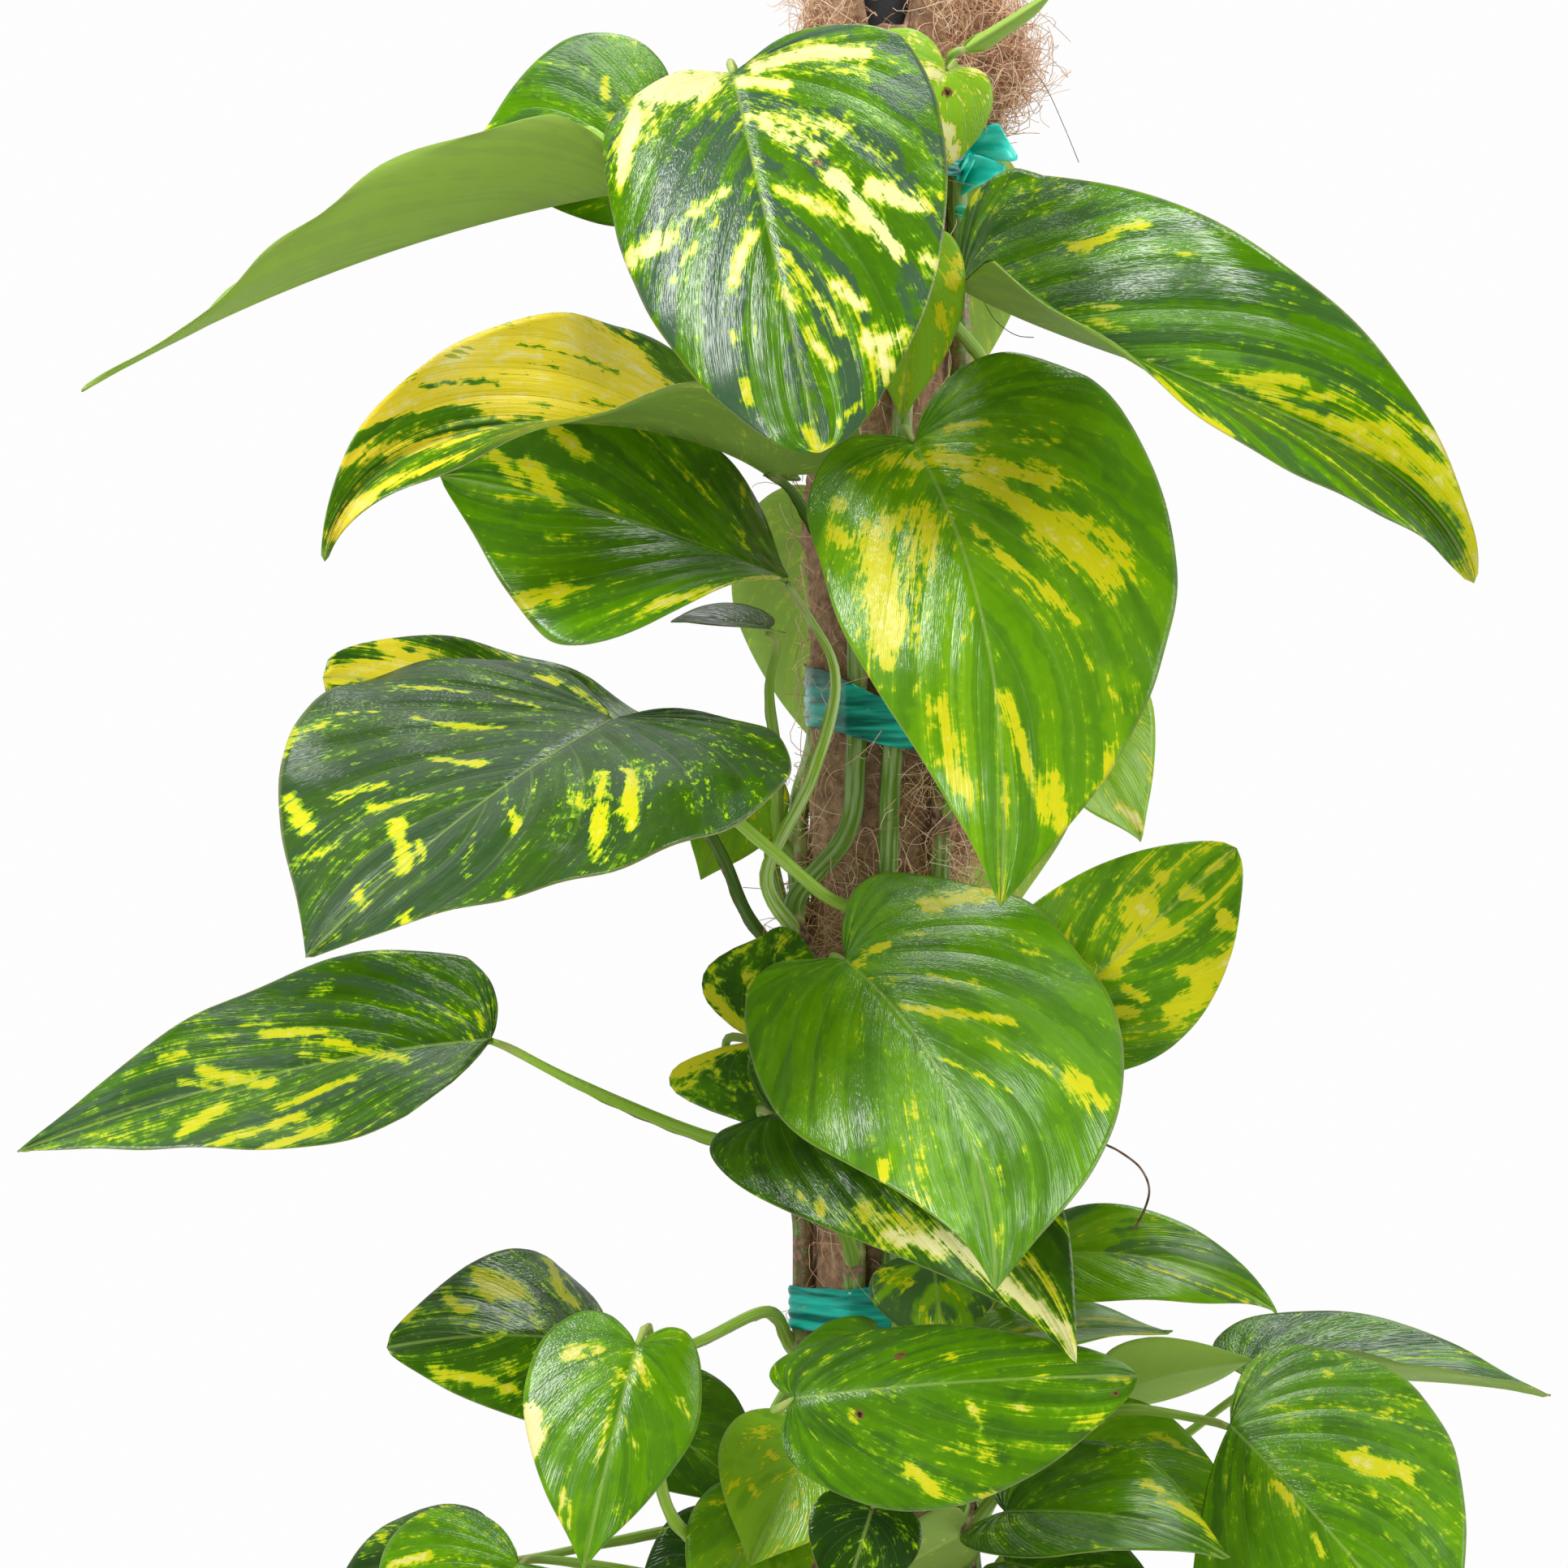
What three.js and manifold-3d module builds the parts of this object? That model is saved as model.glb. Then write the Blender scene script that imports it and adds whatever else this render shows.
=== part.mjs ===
// A potted golden pothos climbing a coir pole: a plastic pot of potting soil, a pipe wrapped
// in coir fibre, five stems tied to it with green tape, and the heart-shaped leaves that they carry.
// Millimetres, +Z up. The origin is the centre of the pot's flat underside, on the pole's axis.
// The plant is seen from -Y in its front view, and +X is to the right there.
import * as THREE from "three";
import { mergeVertices } from "three/addons/utils/BufferGeometryUtils.js";
import Module from "manifold-3d";

const wasm = await Module();
wasm.setup();

// Driving dimensions
const GAP = 0.3; // clearance between touching pieces
const POT_HEIGHT = 215;
const POT_TOP_RADIUS = 125;
const POT_BASE_RADIUS = 88;
const POT_WALL = 2.5;
const SOIL_TOP = 192; // level of the soil in the pot
const PIPE_RADIUS = 14;
const PIPE_WALL = 2;
const PIPE_TOP = 1088;
const COIR_RADIUS = 32;
const COIR_TOP = 1052;
const COIR_BOTTOM = 95; // the pole is pushed deep into the soil
const STEM_RADIUS = 5;
const BLADE = 0.8; // thickness of a leaf blade

const rad = THREE.MathUtils.degToRad;
const vec = (p) => new THREE.Vector3(...p);

// Finishes
const LEAF = { color: 0x3f8a1e, roughness: 0.35 };
const STEM = { color: 0x8db53c, roughness: 0.5 };
const COIR = { color: 0x9c6a45, roughness: 0.95 };
const PIPE = { color: 0x2c3034, roughness: 0.45 };
const TIE = { color: 0x12a58c, roughness: 0.3 };
const SOIL = { color: 0x2e2119, roughness: 0.95 };
const POT = { color: 0x3b3e41, roughness: 0.55 };

// Solids: a closed geometry becomes a manifold solid to be joined and cut, and comes back as a mesh.
function solid(geometry) {
  const bare = geometry.index ? geometry.toNonIndexed() : geometry.clone();
  const onlyPlaces = new THREE.BufferGeometry().setAttribute("position", bare.getAttribute("position"));
  const merged = mergeVertices(onlyPlaces, 1e-4);
  return new wasm.Manifold(
    new wasm.Mesh({
      numProp: 3,
      vertProperties: new Float32Array(merged.attributes.position.array),
      triVerts: new Uint32Array(merged.index.array),
    }),
  );
}

// The largest body of a solid: slivers that a cut leaves loose are dropped.
function largest(shape) {
  return shape.decompose().sort((a, b) => b.volume() - a.volume())[0];
}

function mesh(name, shape, finish) {
  const { vertProperties, triVerts } = shape.getMesh();
  const geometry = new THREE.BufferGeometry()
    .setAttribute("position", new THREE.BufferAttribute(new Float32Array(vertProperties), 3))
    .setIndex(new THREE.BufferAttribute(new Uint32Array(triVerts), 1));
  const made = new THREE.Mesh(geometry, new THREE.MeshStandardMaterial({ ...finish, metalness: 0 }));
  made.name = name;
  return made;
}

// A closed geometry from points and faces.
function closed(points, faces) {
  return new THREE.BufferGeometry()
    .setAttribute("position", new THREE.Float32BufferAttribute(points.flatMap((p) => [p.x, p.y, p.z]), 3))
    .setIndex(faces.flat());
}

// A round bar along a curve, with its radius given by a function of the way along.
function bar(curve, radiusAt, steps, sides) {
  const { normals, binormals } = curve.computeFrenetFrames(steps, false);
  const points = [];
  const faces = [];
  for (let i = 0; i <= steps; i++) {
    const centre = curve.getPointAt(i / steps);
    for (let j = 0; j < sides; j++) {
      const turn = (2 * Math.PI * j) / sides;
      points.push(
        centre
          .clone()
          .addScaledVector(normals[i], radiusAt(i / steps) * Math.cos(turn))
          .addScaledVector(binormals[i], radiusAt(i / steps) * Math.sin(turn)),
      );
    }
  }
  for (let i = 0; i < steps; i++)
    for (let j = 0; j < sides; j++) {
      const a = i * sides + j;
      const b = i * sides + ((j + 1) % sides);
      faces.push([a, b, b + sides], [a, b + sides, a + sides]);
    }
  points.push(curve.getPointAt(0), curve.getPointAt(1));
  const last = steps * sides;
  for (let j = 0; j < sides; j++) {
    const k = (j + 1) % sides;
    faces.push([k, j, points.length - 2], [last + j, last + k, points.length - 1]);
  }
  return closed(points, faces);
}

// Leaf blades. A blade is drawn flat first: u runs from the heart, where the petiole joins, to the tip, and
// v from the midrib to the widest edge. OUTLINE is the edge of one half, from the notch round the back lobe
// to the tip, and ORIGIN is where on the midrib the side vein that ends at each of these points begins.
const OUTLINE = [
  [0, 0],
  [-0.06, 0.12],
  [-0.12, 0.36],
  [-0.11, 0.64],
  [0, 0.9],
  [0.16, 1],
  [0.34, 0.97],
  [0.52, 0.8],
  [0.7, 0.54],
  [0.87, 0.22],
  [1, 0],
];
const ORIGIN = [0, 0, 0, 0, 0.01, 0.07, 0.16, 0.3, 0.46, 0.68, 1];
const WIDEST = 0.2; // beyond this u the edge runs to the tip
const COLUMNS = 2; // steps from the midrib to the edge

// Places are given as [across, height, depth], across and height where the sight line from EYE meets the
// plane of the pole, so that a leaf keeps its place in the front view when its depth is changed.
const EYE = [-45, -1800, 677];
function seen([across, height, depth]) {
  const nearer = 1 - depth / EYE[1];
  return new THREE.Vector3(
    EYE[0] + (across - EYE[0]) * nearer,
    depth,
    EYE[2] + (height - EYE[2]) * nearer,
  );
}

// Leaves: name, stem, height of the node it grows from, heart, tip, direction that its upper side faces,
// widths of the left and right halves (as seen from above with the tip ahead), and how steeply each of them
// rises from the midrib, in degrees at the midrib and at the edge. lift and droop are the angles of the
// midrib over the straight line from heart to tip at its two ends, sway its bend to the left in mm, twist
// its turn by the tip, flatten how much of the rise is lost there, full the fullness of the tip half (less
// is broader), lobes the size of each back lobe, rake how far each edge is swept towards the tip, and via the
// places that the petiole passes; with over it comes to the upper side of a blade that hangs turned over.
const LEAVES = [
  ["01", "centre", 880, [-69, 1010, -110], [-28, 832, -175], [-0.1, -1, 0.25], [84, 70], [5, -15], [-5, -35],
    { full: 0.55, lobes: [0.6, 0.5], via: [[-30, 930, -75]] }],
  ["02", "left", 900, [-122, 956, -60], [-374, 861, -110], [0, 0, 1], [56, 56], [30, 60], [35, 55],
    { lift: 10, droop: 10, flatten: 0.65, full: 1.3, lobes: [0.3, 0.3], rake: [0.12, 0] }],
  ["03", "left", 935, [-104, 980, -8], [-194, 972, -25], [0, -1, 0.3], [45, 58], [0, 0], [0, -10], {}],
  ["04", "right", 850, [38, 911, -75], [278, 771, -130], [0.2, -0.7, 0.7], [72, 72], [20, 30], [62, 58],
    { lift: 0, droop: 50, twist: 75, lobes: [0.4, 0], rake: [-0.05, 0.12] }],
  ["05", "centre", 985, [31, 1011, -60], [-12, 946, -63], [0.1, -1, 0.2], [29, 40], [0, -20], [0, -20], {}],
  ["06", "right", 990, [40, 1021, -36], [82, 1048, -55], [0, 1, 0], [12, 12], [50, 100], [50, 100],
    { lobes: [0, 0] }],
  ["07", "centre", 860, [17, 928, -92], [10, 847, -100], [0.2, -1, 0.1], [24, 28], [0, -10], [0, -10], {}],
  ["08", "front", 765, [-53, 824, -62], [-260, 781, -140], [0, -0.2, 1], [60, 56], [45, 50], [20, 30],
    { lift: 42, droop: 74, twist: -90, full: 1.25, via: [[-22, 784, -50]] }],
  ["09", "front", 606, [-43, 773, -62], [-206, 821, -90], [0, -0.35, 0.93], [78, 62], [15, 5], [0, 10],
    { twist: -80, full: 0.8, rake: [0.42, 0.1], lobes: [0.5, 0.2],
      via: [[-53, 632, -54], [-31, 682, -58], [-21, 729, -62]] }],
  ["10", "centre", 740, [16, 837, -110], [56, 619, -165], [0.25, -1, 0.2], [97, 64], [10, -5], [-25, -45],
    { lift: 15, sway: 17, lobes: [1, 0.7] }],
  ["11", "centre", 610, [-126, 708, -90], [-269, 596, -235], [-0.2, -0.5, 0.85], [109, 120], [0, -10],
    [5, 10], { via: [[-21, 622, -60], [-47, 643, -70], [-65, 658, -76]] }],
  ["12", "left", 585, [-112, 703, -12], [-261, 727, -25], [0, -0.2, 1], [30, 30], [0, 0], [0, 10],
    { twist: -75, full: 0.35, via: [[-62, 616, -22], [-74, 644, -22]] }],
  ["13", "left", 640, [-53, 750, -45], [-98, 753, -55], [0, -0.3, 0.95], [25, 25], [10, 10], [10, 10],
    { via: [[-48, 687, -28], [-52, 723, -36]] }],
  ["14", "left", 495, [-182, 558, -70], [-404, 505, -120], [0, -0.64, 0.77], [60, 55], [10, 10], [10, 10],
    { lift: 12, droop: 10, lobes: [0, 0.3], rake: [0.27, 0], via: [[-81, 512, -35], [-146, 539, -60]] }],
  ["15", "front", 562, [-16, 595, -105], [54, 440, -215], [0.2, -0.8, 0.6], [100, 68], [0, -10], [-15, -50],
    { sway: 22, lobes: [1.5, 1], full: 1.1 }],
  ["16", "front", 455, [-50, 523, -95], [92, 406, -180], [0, -0.9, 0.4], [57, 42], [0, -10], [0, -10],
    { sway: 26 }],
  ["17", "left", 480, [-58, 557, -62], [-14, 554, -54], [0, -1, 0.1], [52, 42], [0, 0], [0, 0],
    { lobes: [4.8, 7] }],
  ["18", "centre", 415, [25, 452, -70], [30, 410, -85], [0, -1, 0.2], [30, 30], [0, -10], [0, -10], {}],
  ["19", "right", 500, [72, 562, -42], [167, 647, -50], [0.1, -1, 0.1], [45, 47], [0, 10], [0, 10],
    { full: 0.6, rake: [0, 0.2] }],
  ["20", "right", 660, [78, 721, -50], [122, 650, -60], [0.5, -0.8, 0.3], [45, 40], [4, 12], [5, 14], {}],
  ["21", "right", 400, [78, 457, -60], [186, 429, -90], [0, -0.5, 0.85], [28, 36], [10, 20], [0, 0],
    { lift: 25, droop: 35 }],
  ["22", "right", 380, [44, 417, -75], [137, 421, -85], [0, -0.2, 1], [35, 35], [5, 5], [5, 5], {}],
  ["23", "front", 405, [-40, 390, -125], [121, 400, -150], [0, -0.8, 0.55], [37, 54], [-15, -25], [-15, -20],
    { rake: [0.1, 0.2], full: 0.6 }],
  ["24", "left", 290, [-114, 414, -105], [-139, 309, -135], [-0.2, -1, 0.2], [34, 46], [0, -40], [0, -10],
    { via: [[-100, 340, -80]] }],
  ["25", "left", 410, [-131, 413, -55], [-231, 413, -75], [0, -0.8, 0.6], [40, 62], [-20, -20], [-20, -20],
    { lift: 35, droop: 25, full: 0.7, via: [[-52, 430, -30], [-90, 414, -45]] }],
  ["26", "left", 310, [-112, 383, -32], [-55, 339, -46], [0.3, -0.6, 0.7], [45, 35], [0, 0], [0, 0], {}],
  ["27", "front", 300, [-32, 370, -68], [-61, 311, -90], [-0.2, -0.8, 0.5], [38, 38], [0, 0], [0, 0], {}],
  ["28", "left", 270, [-169, 312, -60], [-230, 244, -110], [0, -0.8, 0.6], [55, 55], [0, -10], [0, -10], {}],
  ["29", "back", 280, [-184, 314, -10], [-268, 268, -40], [0, -0.7, 0.7], [45, 45], [0, -10], [0, -10], {}],
  ["30", "front", 270, [-53, 337, -70], [-85, 280, -90], [-0.2, -1, 0.3], [30, 30], [0, -10], [0, -10], {}],
  ["31", "back", 265, [-70, 316, 10], [-116, 288, 12], [0, -1, 0.3], [30, 30], [0, -10], [0, -10], {}],
  ["32", "centre", 290, [-4, 337, -112], [-19, 288, -126], [0, -1, 0.3], [25, 25], [4, 12], [5, 14], {}],
  ["33", "centre", 280, [59, 337, -80], [164, 315, -115], [0, -0.45, 0.9], [45, 45], [10, 10], [10, 10],
    { lift: 15, droop: 30 }],
  ["34", "right", 300, [93, 364, -45], [176, 320, -65], [0.1, -0.7, 0.7], [38, 30], [5, 5], [5, 5], {}],
  ["35", "right", 330, [164, 377, -85], [268, 254, -150], [0.3, -0.75, 0.6], [92, 65], [5, -10], [-40, -60],
    { lobes: [1.2, 0.2], rake: [0, 0.25], via: [[107, 383, -62]] }],
  ["36", "right", 345, [174, 398, 16], [314, 391, 0], [0, -0.1, 1], [40, 40], [30, 40], [25, 30],
    { lobes: [1, 0.2], via: [[120, 360, 4]] }],
  ["37", "right", 362, [114, 396, -32], [175, 407, -46], [0, 0.7, 0.7], [28, 26], [10, 10], [10, 10],
    { over: true }],
  ["38", "centre", 370, [-4, 419, -80], [-46, 406, -95], [0, -0.5, 0.8], [13, 13], [10, 10], [10, 10], {}],
  ["39", "left", 610, [-62, 680, -2], [-84, 632, -6], [0, -1, 0.2], [24, 24], [0, 0], [0, 0],
    { via: [[-50, 640, 9]] }],
  ["40", "right", 260, [59, 313, -50], [139, 288, -85], [0, -0.6, 0.8], [35, 35], [5, 5], [5, 5], {}],
  ["41", "centre", 335, [36, 326, -92], [-13, 294, -98], [-0.3, 0.7, 0.6], [20, 33], [5, 5], [5, 5],
    { over: true }],
  ["42", "back", 880, [20, 960, 75], [10, 820, 120], [0, 1, 0.3], [55, 55], [10, 0], [10, 0], {}],
  ["43", "back", 730, [-10, 800, 80], [-20, 680, 130], [-0.2, 1, 0.3], [60, 60], [10, 0], [10, 0], {}],
  ["44", "back", 620, [50, 720, 80], [50, 600, 130], [0.2, 1, 0.3], [50, 50], [10, 0], [10, 0], {}],
  ["45", "back", 460, [0, 560, 75], [10, 440, 120], [-0.2, 1, 0.3], [55, 55], [10, 0], [10, 0], {}],
  ["46", "back", 400, [30, 440, 85], [50, 330, 130], [0.1, 1, 0.3], [55, 55], [10, 0], [10, 0], {}],
  ["47", "front", 240, [-15, 275, -125], [-20, 180, -160], [0, -1, 0.4], [50, 50], [0, -10], [0, -10],
    { lift: 25, droop: 25 }],
].map(([name, stem, from, heart, tip, face, halves, left, right, form]) => ({
  name,
  stem,
  from,
  heart: seen(heart),
  tip: seen(tip),
  face: vec(face),
  halves,
  left,
  right,
  lift: 8,
  droop: 8,
  sway: 0,
  twist: 0,
  flatten: 0,
  full: 1,
  lobes: [1, 1],
  rake: [0, 0],
  over: false,
  ...form,
  via: (form.via ?? []).map(seen),
}));

// The frame of a leaf: its midrib as a curve, and the upward direction at the straight line under it.
function leafFrame(leaf) {
  const along = leaf.tip.clone().sub(leaf.heart);
  const length = along.length();
  along.normalize();
  const up = leaf.face.clone().addScaledVector(along, -leaf.face.dot(along)).normalize();
  const left = up.clone().cross(along);
  const tilted = (degrees) =>
    along.clone().multiplyScalar(Math.cos(rad(degrees))).addScaledVector(up, Math.sin(rad(degrees)));
  const handle = (end, degrees, reach) =>
    end.clone().addScaledVector(tilted(degrees), reach).addScaledVector(left, leaf.sway);
  const midrib = new THREE.CubicBezierCurve3(
    leaf.heart,
    handle(leaf.heart, leaf.lift, length / 3),
    handle(leaf.tip, -leaf.droop, -length / 3),
    leaf.tip,
  );
  return { length, up, along, midrib };
}

// Where on the flat half the side vein to OUTLINE point i has come after a share of its reach.
function flatPlace(leaf, side, i, reach) {
  const half = side > 0 ? 0 : 1;
  const [along, across] = OUTLINE[i];
  const edgeU = along < 0 ? along * leaf.lobes[half] : along;
  const edgeV = along > WIDEST ? across ** leaf.full : across;
  const swept = edgeU + leaf.rake[half] * edgeV * (1 - Math.max(edgeU, 0));
  return { u: ORIGIN[i] + (swept - ORIGIN[i]) * reach, v: edgeV * reach };
}

// A place on the blade and the direction its upper side looks there. side is +1 on the left, -1 on the right.
function bladePlace(leaf, frame, side, u, v) {
  const at = Math.max(u, 0);
  const ahead = frame.midrib.getTangent(at);
  const left = frame.up.clone().cross(ahead).normalize().applyAxisAngle(ahead, rad(leaf.twist * at));
  const up = ahead.clone().cross(left);
  const onLeft = side > 0;
  const rises = onLeft ? leaf.left : leaf.right;
  const [inner, outer] = rises.map((angle) => rad(angle) * (1 - leaf.flatten * at));
  const angle = inner + (outer - inner) * v;
  const middle = inner + ((outer - inner) * v) / 2;
  const half = leaf.halves[onLeft ? 0 : 1] * v;
  const place = frame.midrib
    .getPoint(at)
    .addScaledVector(ahead, Math.min(u, 0) * frame.length)
    .addScaledVector(left, side * half * Math.cos(middle))
    .addScaledVector(up, half * Math.sin(middle));
  const normal = up.clone().multiplyScalar(Math.cos(angle)).addScaledVector(left, -side * Math.sin(angle));
  return { place, normal };
}

// One blade as a thin closed solid: each half is a row of strips between side veins, on both faces alike.
function blade(leaf) {
  const frame = leafFrame(leaf);
  const last = OUTLINE.length - 1;
  const points = [];
  const faces = [];
  const seenBefore = new Map();
  const corner = (side, i, j, upper) => {
    const onMidrib = j === 0 || i === 0 || i === last;
    const { u, v } = onMidrib ? { u: ORIGIN[i], v: 0 } : flatPlace(leaf, side, i, j / COLUMNS);
    const key = onMidrib ? `midrib ${ORIGIN[i]} ${upper}` : `${side} ${i} ${j} ${upper}`;
    if (!seenBefore.has(key)) {
      const { place, normal } = bladePlace(leaf, frame, side, u, v);
      if (onMidrib) normal.add(bladePlace(leaf, frame, -side, u, 0).normal).normalize();
      seenBefore.set(key, points.length);
      points.push(place.addScaledVector(normal, upper ? BLADE / 2 : -BLADE / 2));
    }
    return seenBefore.get(key);
  };
  const face = (turned, ...corners) => {
    if (new Set(corners).size === 3) faces.push(turned ? corners.reverse() : corners);
  };
  for (const side of [1, -1])
    for (let i = 0; i < last; i++) {
      for (let j = 0; j < COLUMNS; j++)
        for (const upper of [true, false]) {
          const turned = upper !== side > 0;
          const [a, b] = [corner(side, i, j, upper), corner(side, i + 1, j, upper)];
          const [c, d] = [corner(side, i + 1, j + 1, upper), corner(side, i, j + 1, upper)];
          face(turned, a, b, c);
          face(turned, a, c, d);
        }
      const [a, b] = [corner(side, i, COLUMNS, true), corner(side, i + 1, COLUMNS, true)];
      const [c, d] = [corner(side, i, COLUMNS, false), corner(side, i + 1, COLUMNS, false)];
      face(side < 0, a, b, d);
      face(side < 0, a, d, c);
    }
  return solid(closed(points, faces));
}

// Stems: angle round the pole from the front towards the right, height, and distance from the axis.
const OFF_COIR = 1.6;
const ON_POLE = COIR_RADIUS + STEM_RADIUS + OFF_COIR;
const STEMS = {
  front: [[-30, 150, 70], [-30, 200, 64], [-24, 300, 48], [-20, 400, ON_POLE], [-20, 520, ON_POLE],
    [-20, 566, ON_POLE], [-40, 600, 56], [-44, 622, 58], [-22, 655, 43], [-18, 690, ON_POLE],
    [-18, 800, ON_POLE]],
  centre: [[20, 150, 64], [18, 200, 60], [12, 300, 46], [8, 400, ON_POLE], [6, 540, ON_POLE],
    [4, 640, ON_POLE], [10, 740, ON_POLE], [14, 850, ON_POLE], [18, 990, ON_POLE], [26, 1006, 40]],
  right: [[75, 150, 62], [75, 200, 58], [70, 300, 46], [64, 400, ON_POLE], [50, 540, ON_POLE],
    [44, 640, ON_POLE], [60, 740, ON_POLE], [75, 850, ON_POLE], [64, 984, ON_POLE], [60, 1004, 41]],
  left: [[-85, 150, 64], [-85, 200, 60], [-80, 300, 48], [-76, 400, ON_POLE], [-72, 540, ON_POLE],
    [-80, 640, ON_POLE], [-105, 670, ON_POLE], [-130, 700, ON_POLE], [-130, 850, ON_POLE],
    [-105, 880, ON_POLE], [-80, 910, ON_POLE], [-60, 950, ON_POLE]],
  back: [[180, 150, 60], [180, 200, 56], [178, 300, 46], [176, 400, ON_POLE], [182, 540, ON_POLE],
    [178, 640, ON_POLE], [182, 740, ON_POLE], [180, 850, ON_POLE], [180, 910, ON_POLE]],
};
const STEM_STEPS = 22;
const STEM_SIDES = 6;
const round = (angle, height, reach) =>
  new THREE.Vector3(reach * Math.sin(rad(angle)), -reach * Math.cos(rad(angle)), height);

// The way along a stem at which it passes a height.
function wayAt(curve, height) {
  let [low, high] = [0, 1];
  for (let i = 0; i < 20; i++) {
    const middle = (low + high) / 2;
    if (curve.getPoint(middle).z < height) low = middle;
    else high = middle;
  }
  return low;
}

// A petiole from its node on the stem to just under the heart of its blade.
const PETIOLE_RADIUS = 2.8;
const PETIOLE_TIP = 1.6;
const SEAT = BLADE / 2 + GAP + 0.75 * PETIOLE_TIP; // from the middle of a petiole's end to its blade
const PETIOLE_STEPS = 6;
const PETIOLE_SIDES = 5;
const LONGEST_BEND = 15; // the petiole turns into the blade in this length at most
const LEANS_OUT = 0.16; // shares of a petiole's reach in which it first leans out and rises
const RISES = 0.2;
const ARRIVES_ALONG = 0.75; // how much it comes in along the midrib, and how much from below
const ARRIVES_UP = 0.65;
function petiole(leaf, stem) {
  const node = stem.getPoint(wayAt(stem, leaf.from));
  const { along, up } = leafFrame(leaf);
  const under = leaf.over ? -1 : 1;
  const end = leaf.heart.clone().addScaledVector(up, -under * SEAT);
  const arrival = along.clone().multiplyScalar(ARRIVES_ALONG).addScaledVector(up, ARRIVES_UP * under);
  arrival.normalize();
  const outward = new THREE.Vector3(node.x, node.y, 0).normalize();
  const reach = (leaf.via[0] ?? end).distanceTo(node);
  const start = node.clone().addScaledVector(outward, reach * LEANS_OUT);
  start.z += reach * RISES;
  const last = end.distanceTo(leaf.via.at(-1) ?? node);
  const bend = end.clone().addScaledVector(arrival, -Math.min(last / 4, LONGEST_BEND));
  const curve = new THREE.CatmullRomCurve3([node, start, ...leaf.via, bend, end], false, "centripetal");
  const radius = (way) => PETIOLE_RADIUS + (PETIOLE_TIP - PETIOLE_RADIUS) * way ** 3;
  return solid(bar(curve, radius, PETIOLE_STEPS + 2 * leaf.via.length, PETIOLE_SIDES));
}

const stemCurve = (points) => new THREE.CatmullRomCurve3(points.map((point) => round(...point)));
function stemWithPetioles(name) {
  const curve = stemCurve(STEMS[name]);
  const body = solid(bar(curve, () => STEM_RADIUS, STEM_STEPS, STEM_SIDES));
  const petioles = LEAVES.filter((leaf) => leaf.stem === name).map((leaf) => petiole(leaf, curve));
  return petioles.reduce((all, one) => all.add(one), body);
}

// A closed shape turned about the pole's axis from [radius, height] corners.
function turned(corners, segments = 36) {
  const profile = [...corners, corners[0]].map(([r, z]) => new THREE.Vector2(r, z));
  return solid(new THREE.LatheGeometry(profile, segments).rotateX(Math.PI / 2));
}

function cylinder(radius, bottom, top, segments = 24) {
  const shape = new THREE.CylinderGeometry(radius, radius, top - bottom, segments).rotateX(Math.PI / 2);
  return solid(shape.translate(0, 0, (bottom + top) / 2));
}

// Pot: a tapered shell with a rolled rim and a ring of drain holes round its flat middle.
const POT_FLOOR = 3;
const RIM_HEIGHT = 16;
const RIM_DEPTH = 4;
const DRAIN_HOLES = 8;
const DRAIN_RING = 62;
const DRAIN_RADIUS = 6;
const potRadius = (height) => POT_BASE_RADIUS + ((POT_TOP_RADIUS - POT_BASE_RADIUS) * height) / POT_HEIGHT;
function pot() {
  const shell = turned([
    [0, 0],
    [POT_BASE_RADIUS, 0],
    [potRadius(POT_HEIGHT - RIM_HEIGHT), POT_HEIGHT - RIM_HEIGHT],
    [potRadius(POT_HEIGHT - RIM_HEIGHT) + RIM_DEPTH, POT_HEIGHT - RIM_HEIGHT],
    [potRadius(POT_HEIGHT) + RIM_DEPTH, POT_HEIGHT],
    [potRadius(POT_HEIGHT) - POT_WALL, POT_HEIGHT],
    [potRadius(POT_FLOOR) - POT_WALL, POT_FLOOR],
    [0, POT_FLOOR],
  ]);
  const drain = cylinder(DRAIN_RADIUS, -POT_FLOOR, 2 * POT_FLOOR, 12);
  let holed = shell;
  for (let i = 0; i < DRAIN_HOLES; i++) {
    const turn = (2 * Math.PI * i) / DRAIN_HOLES;
    holed = holed.subtract(drain.translate([DRAIN_RING * Math.cos(turn), DRAIN_RING * Math.sin(turn), 0]));
  }
  return holed;
}

// Soil: it fills the pot, a little higher round the pole, with a plain hole for the pole and each stem.
const SOIL_MOUND = 10;
const SHOULDER_RADIUS = 70; // out to here the heap has most of its height
const SHOULDER_RISE = 0.7;
const HOLE_GAP = 0.6;
function soil() {
  const against = (height) => potRadius(height) - POT_WALL - GAP;
  const heap = turned([
    [0, POT_FLOOR + GAP],
    [against(POT_FLOOR + GAP), POT_FLOOR + GAP],
    [against(SOIL_TOP), SOIL_TOP],
    [SHOULDER_RADIUS, SOIL_TOP + SOIL_MOUND * SHOULDER_RISE],
    [0, SOIL_TOP + SOIL_MOUND],
  ]);
  const above = SOIL_TOP + 2 * SOIL_MOUND;
  const pole = cylinder(COIR_RADIUS + LUMP_IN_SOIL + GAP, COIR_BOTTOM - GAP, above, 32);
  const foot = cylinder(PIPE_RADIUS + GAP, PIPE_BOTTOM - GAP, above);
  const stems = Object.keys(STEMS).map((name) => {
    const [start, ...others] = STEMS[name];
    const deeper = [[start[0], start[1] - 1, start[2]], ...others];
    return solid(bar(stemCurve(deeper), () => STEM_RADIUS + HOLE_GAP, STEM_STEPS, STEM_SIDES));
  });
  return largest([pole, foot, ...stems].reduce((rest, hole) => rest.subtract(hole), heap));
}

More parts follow.
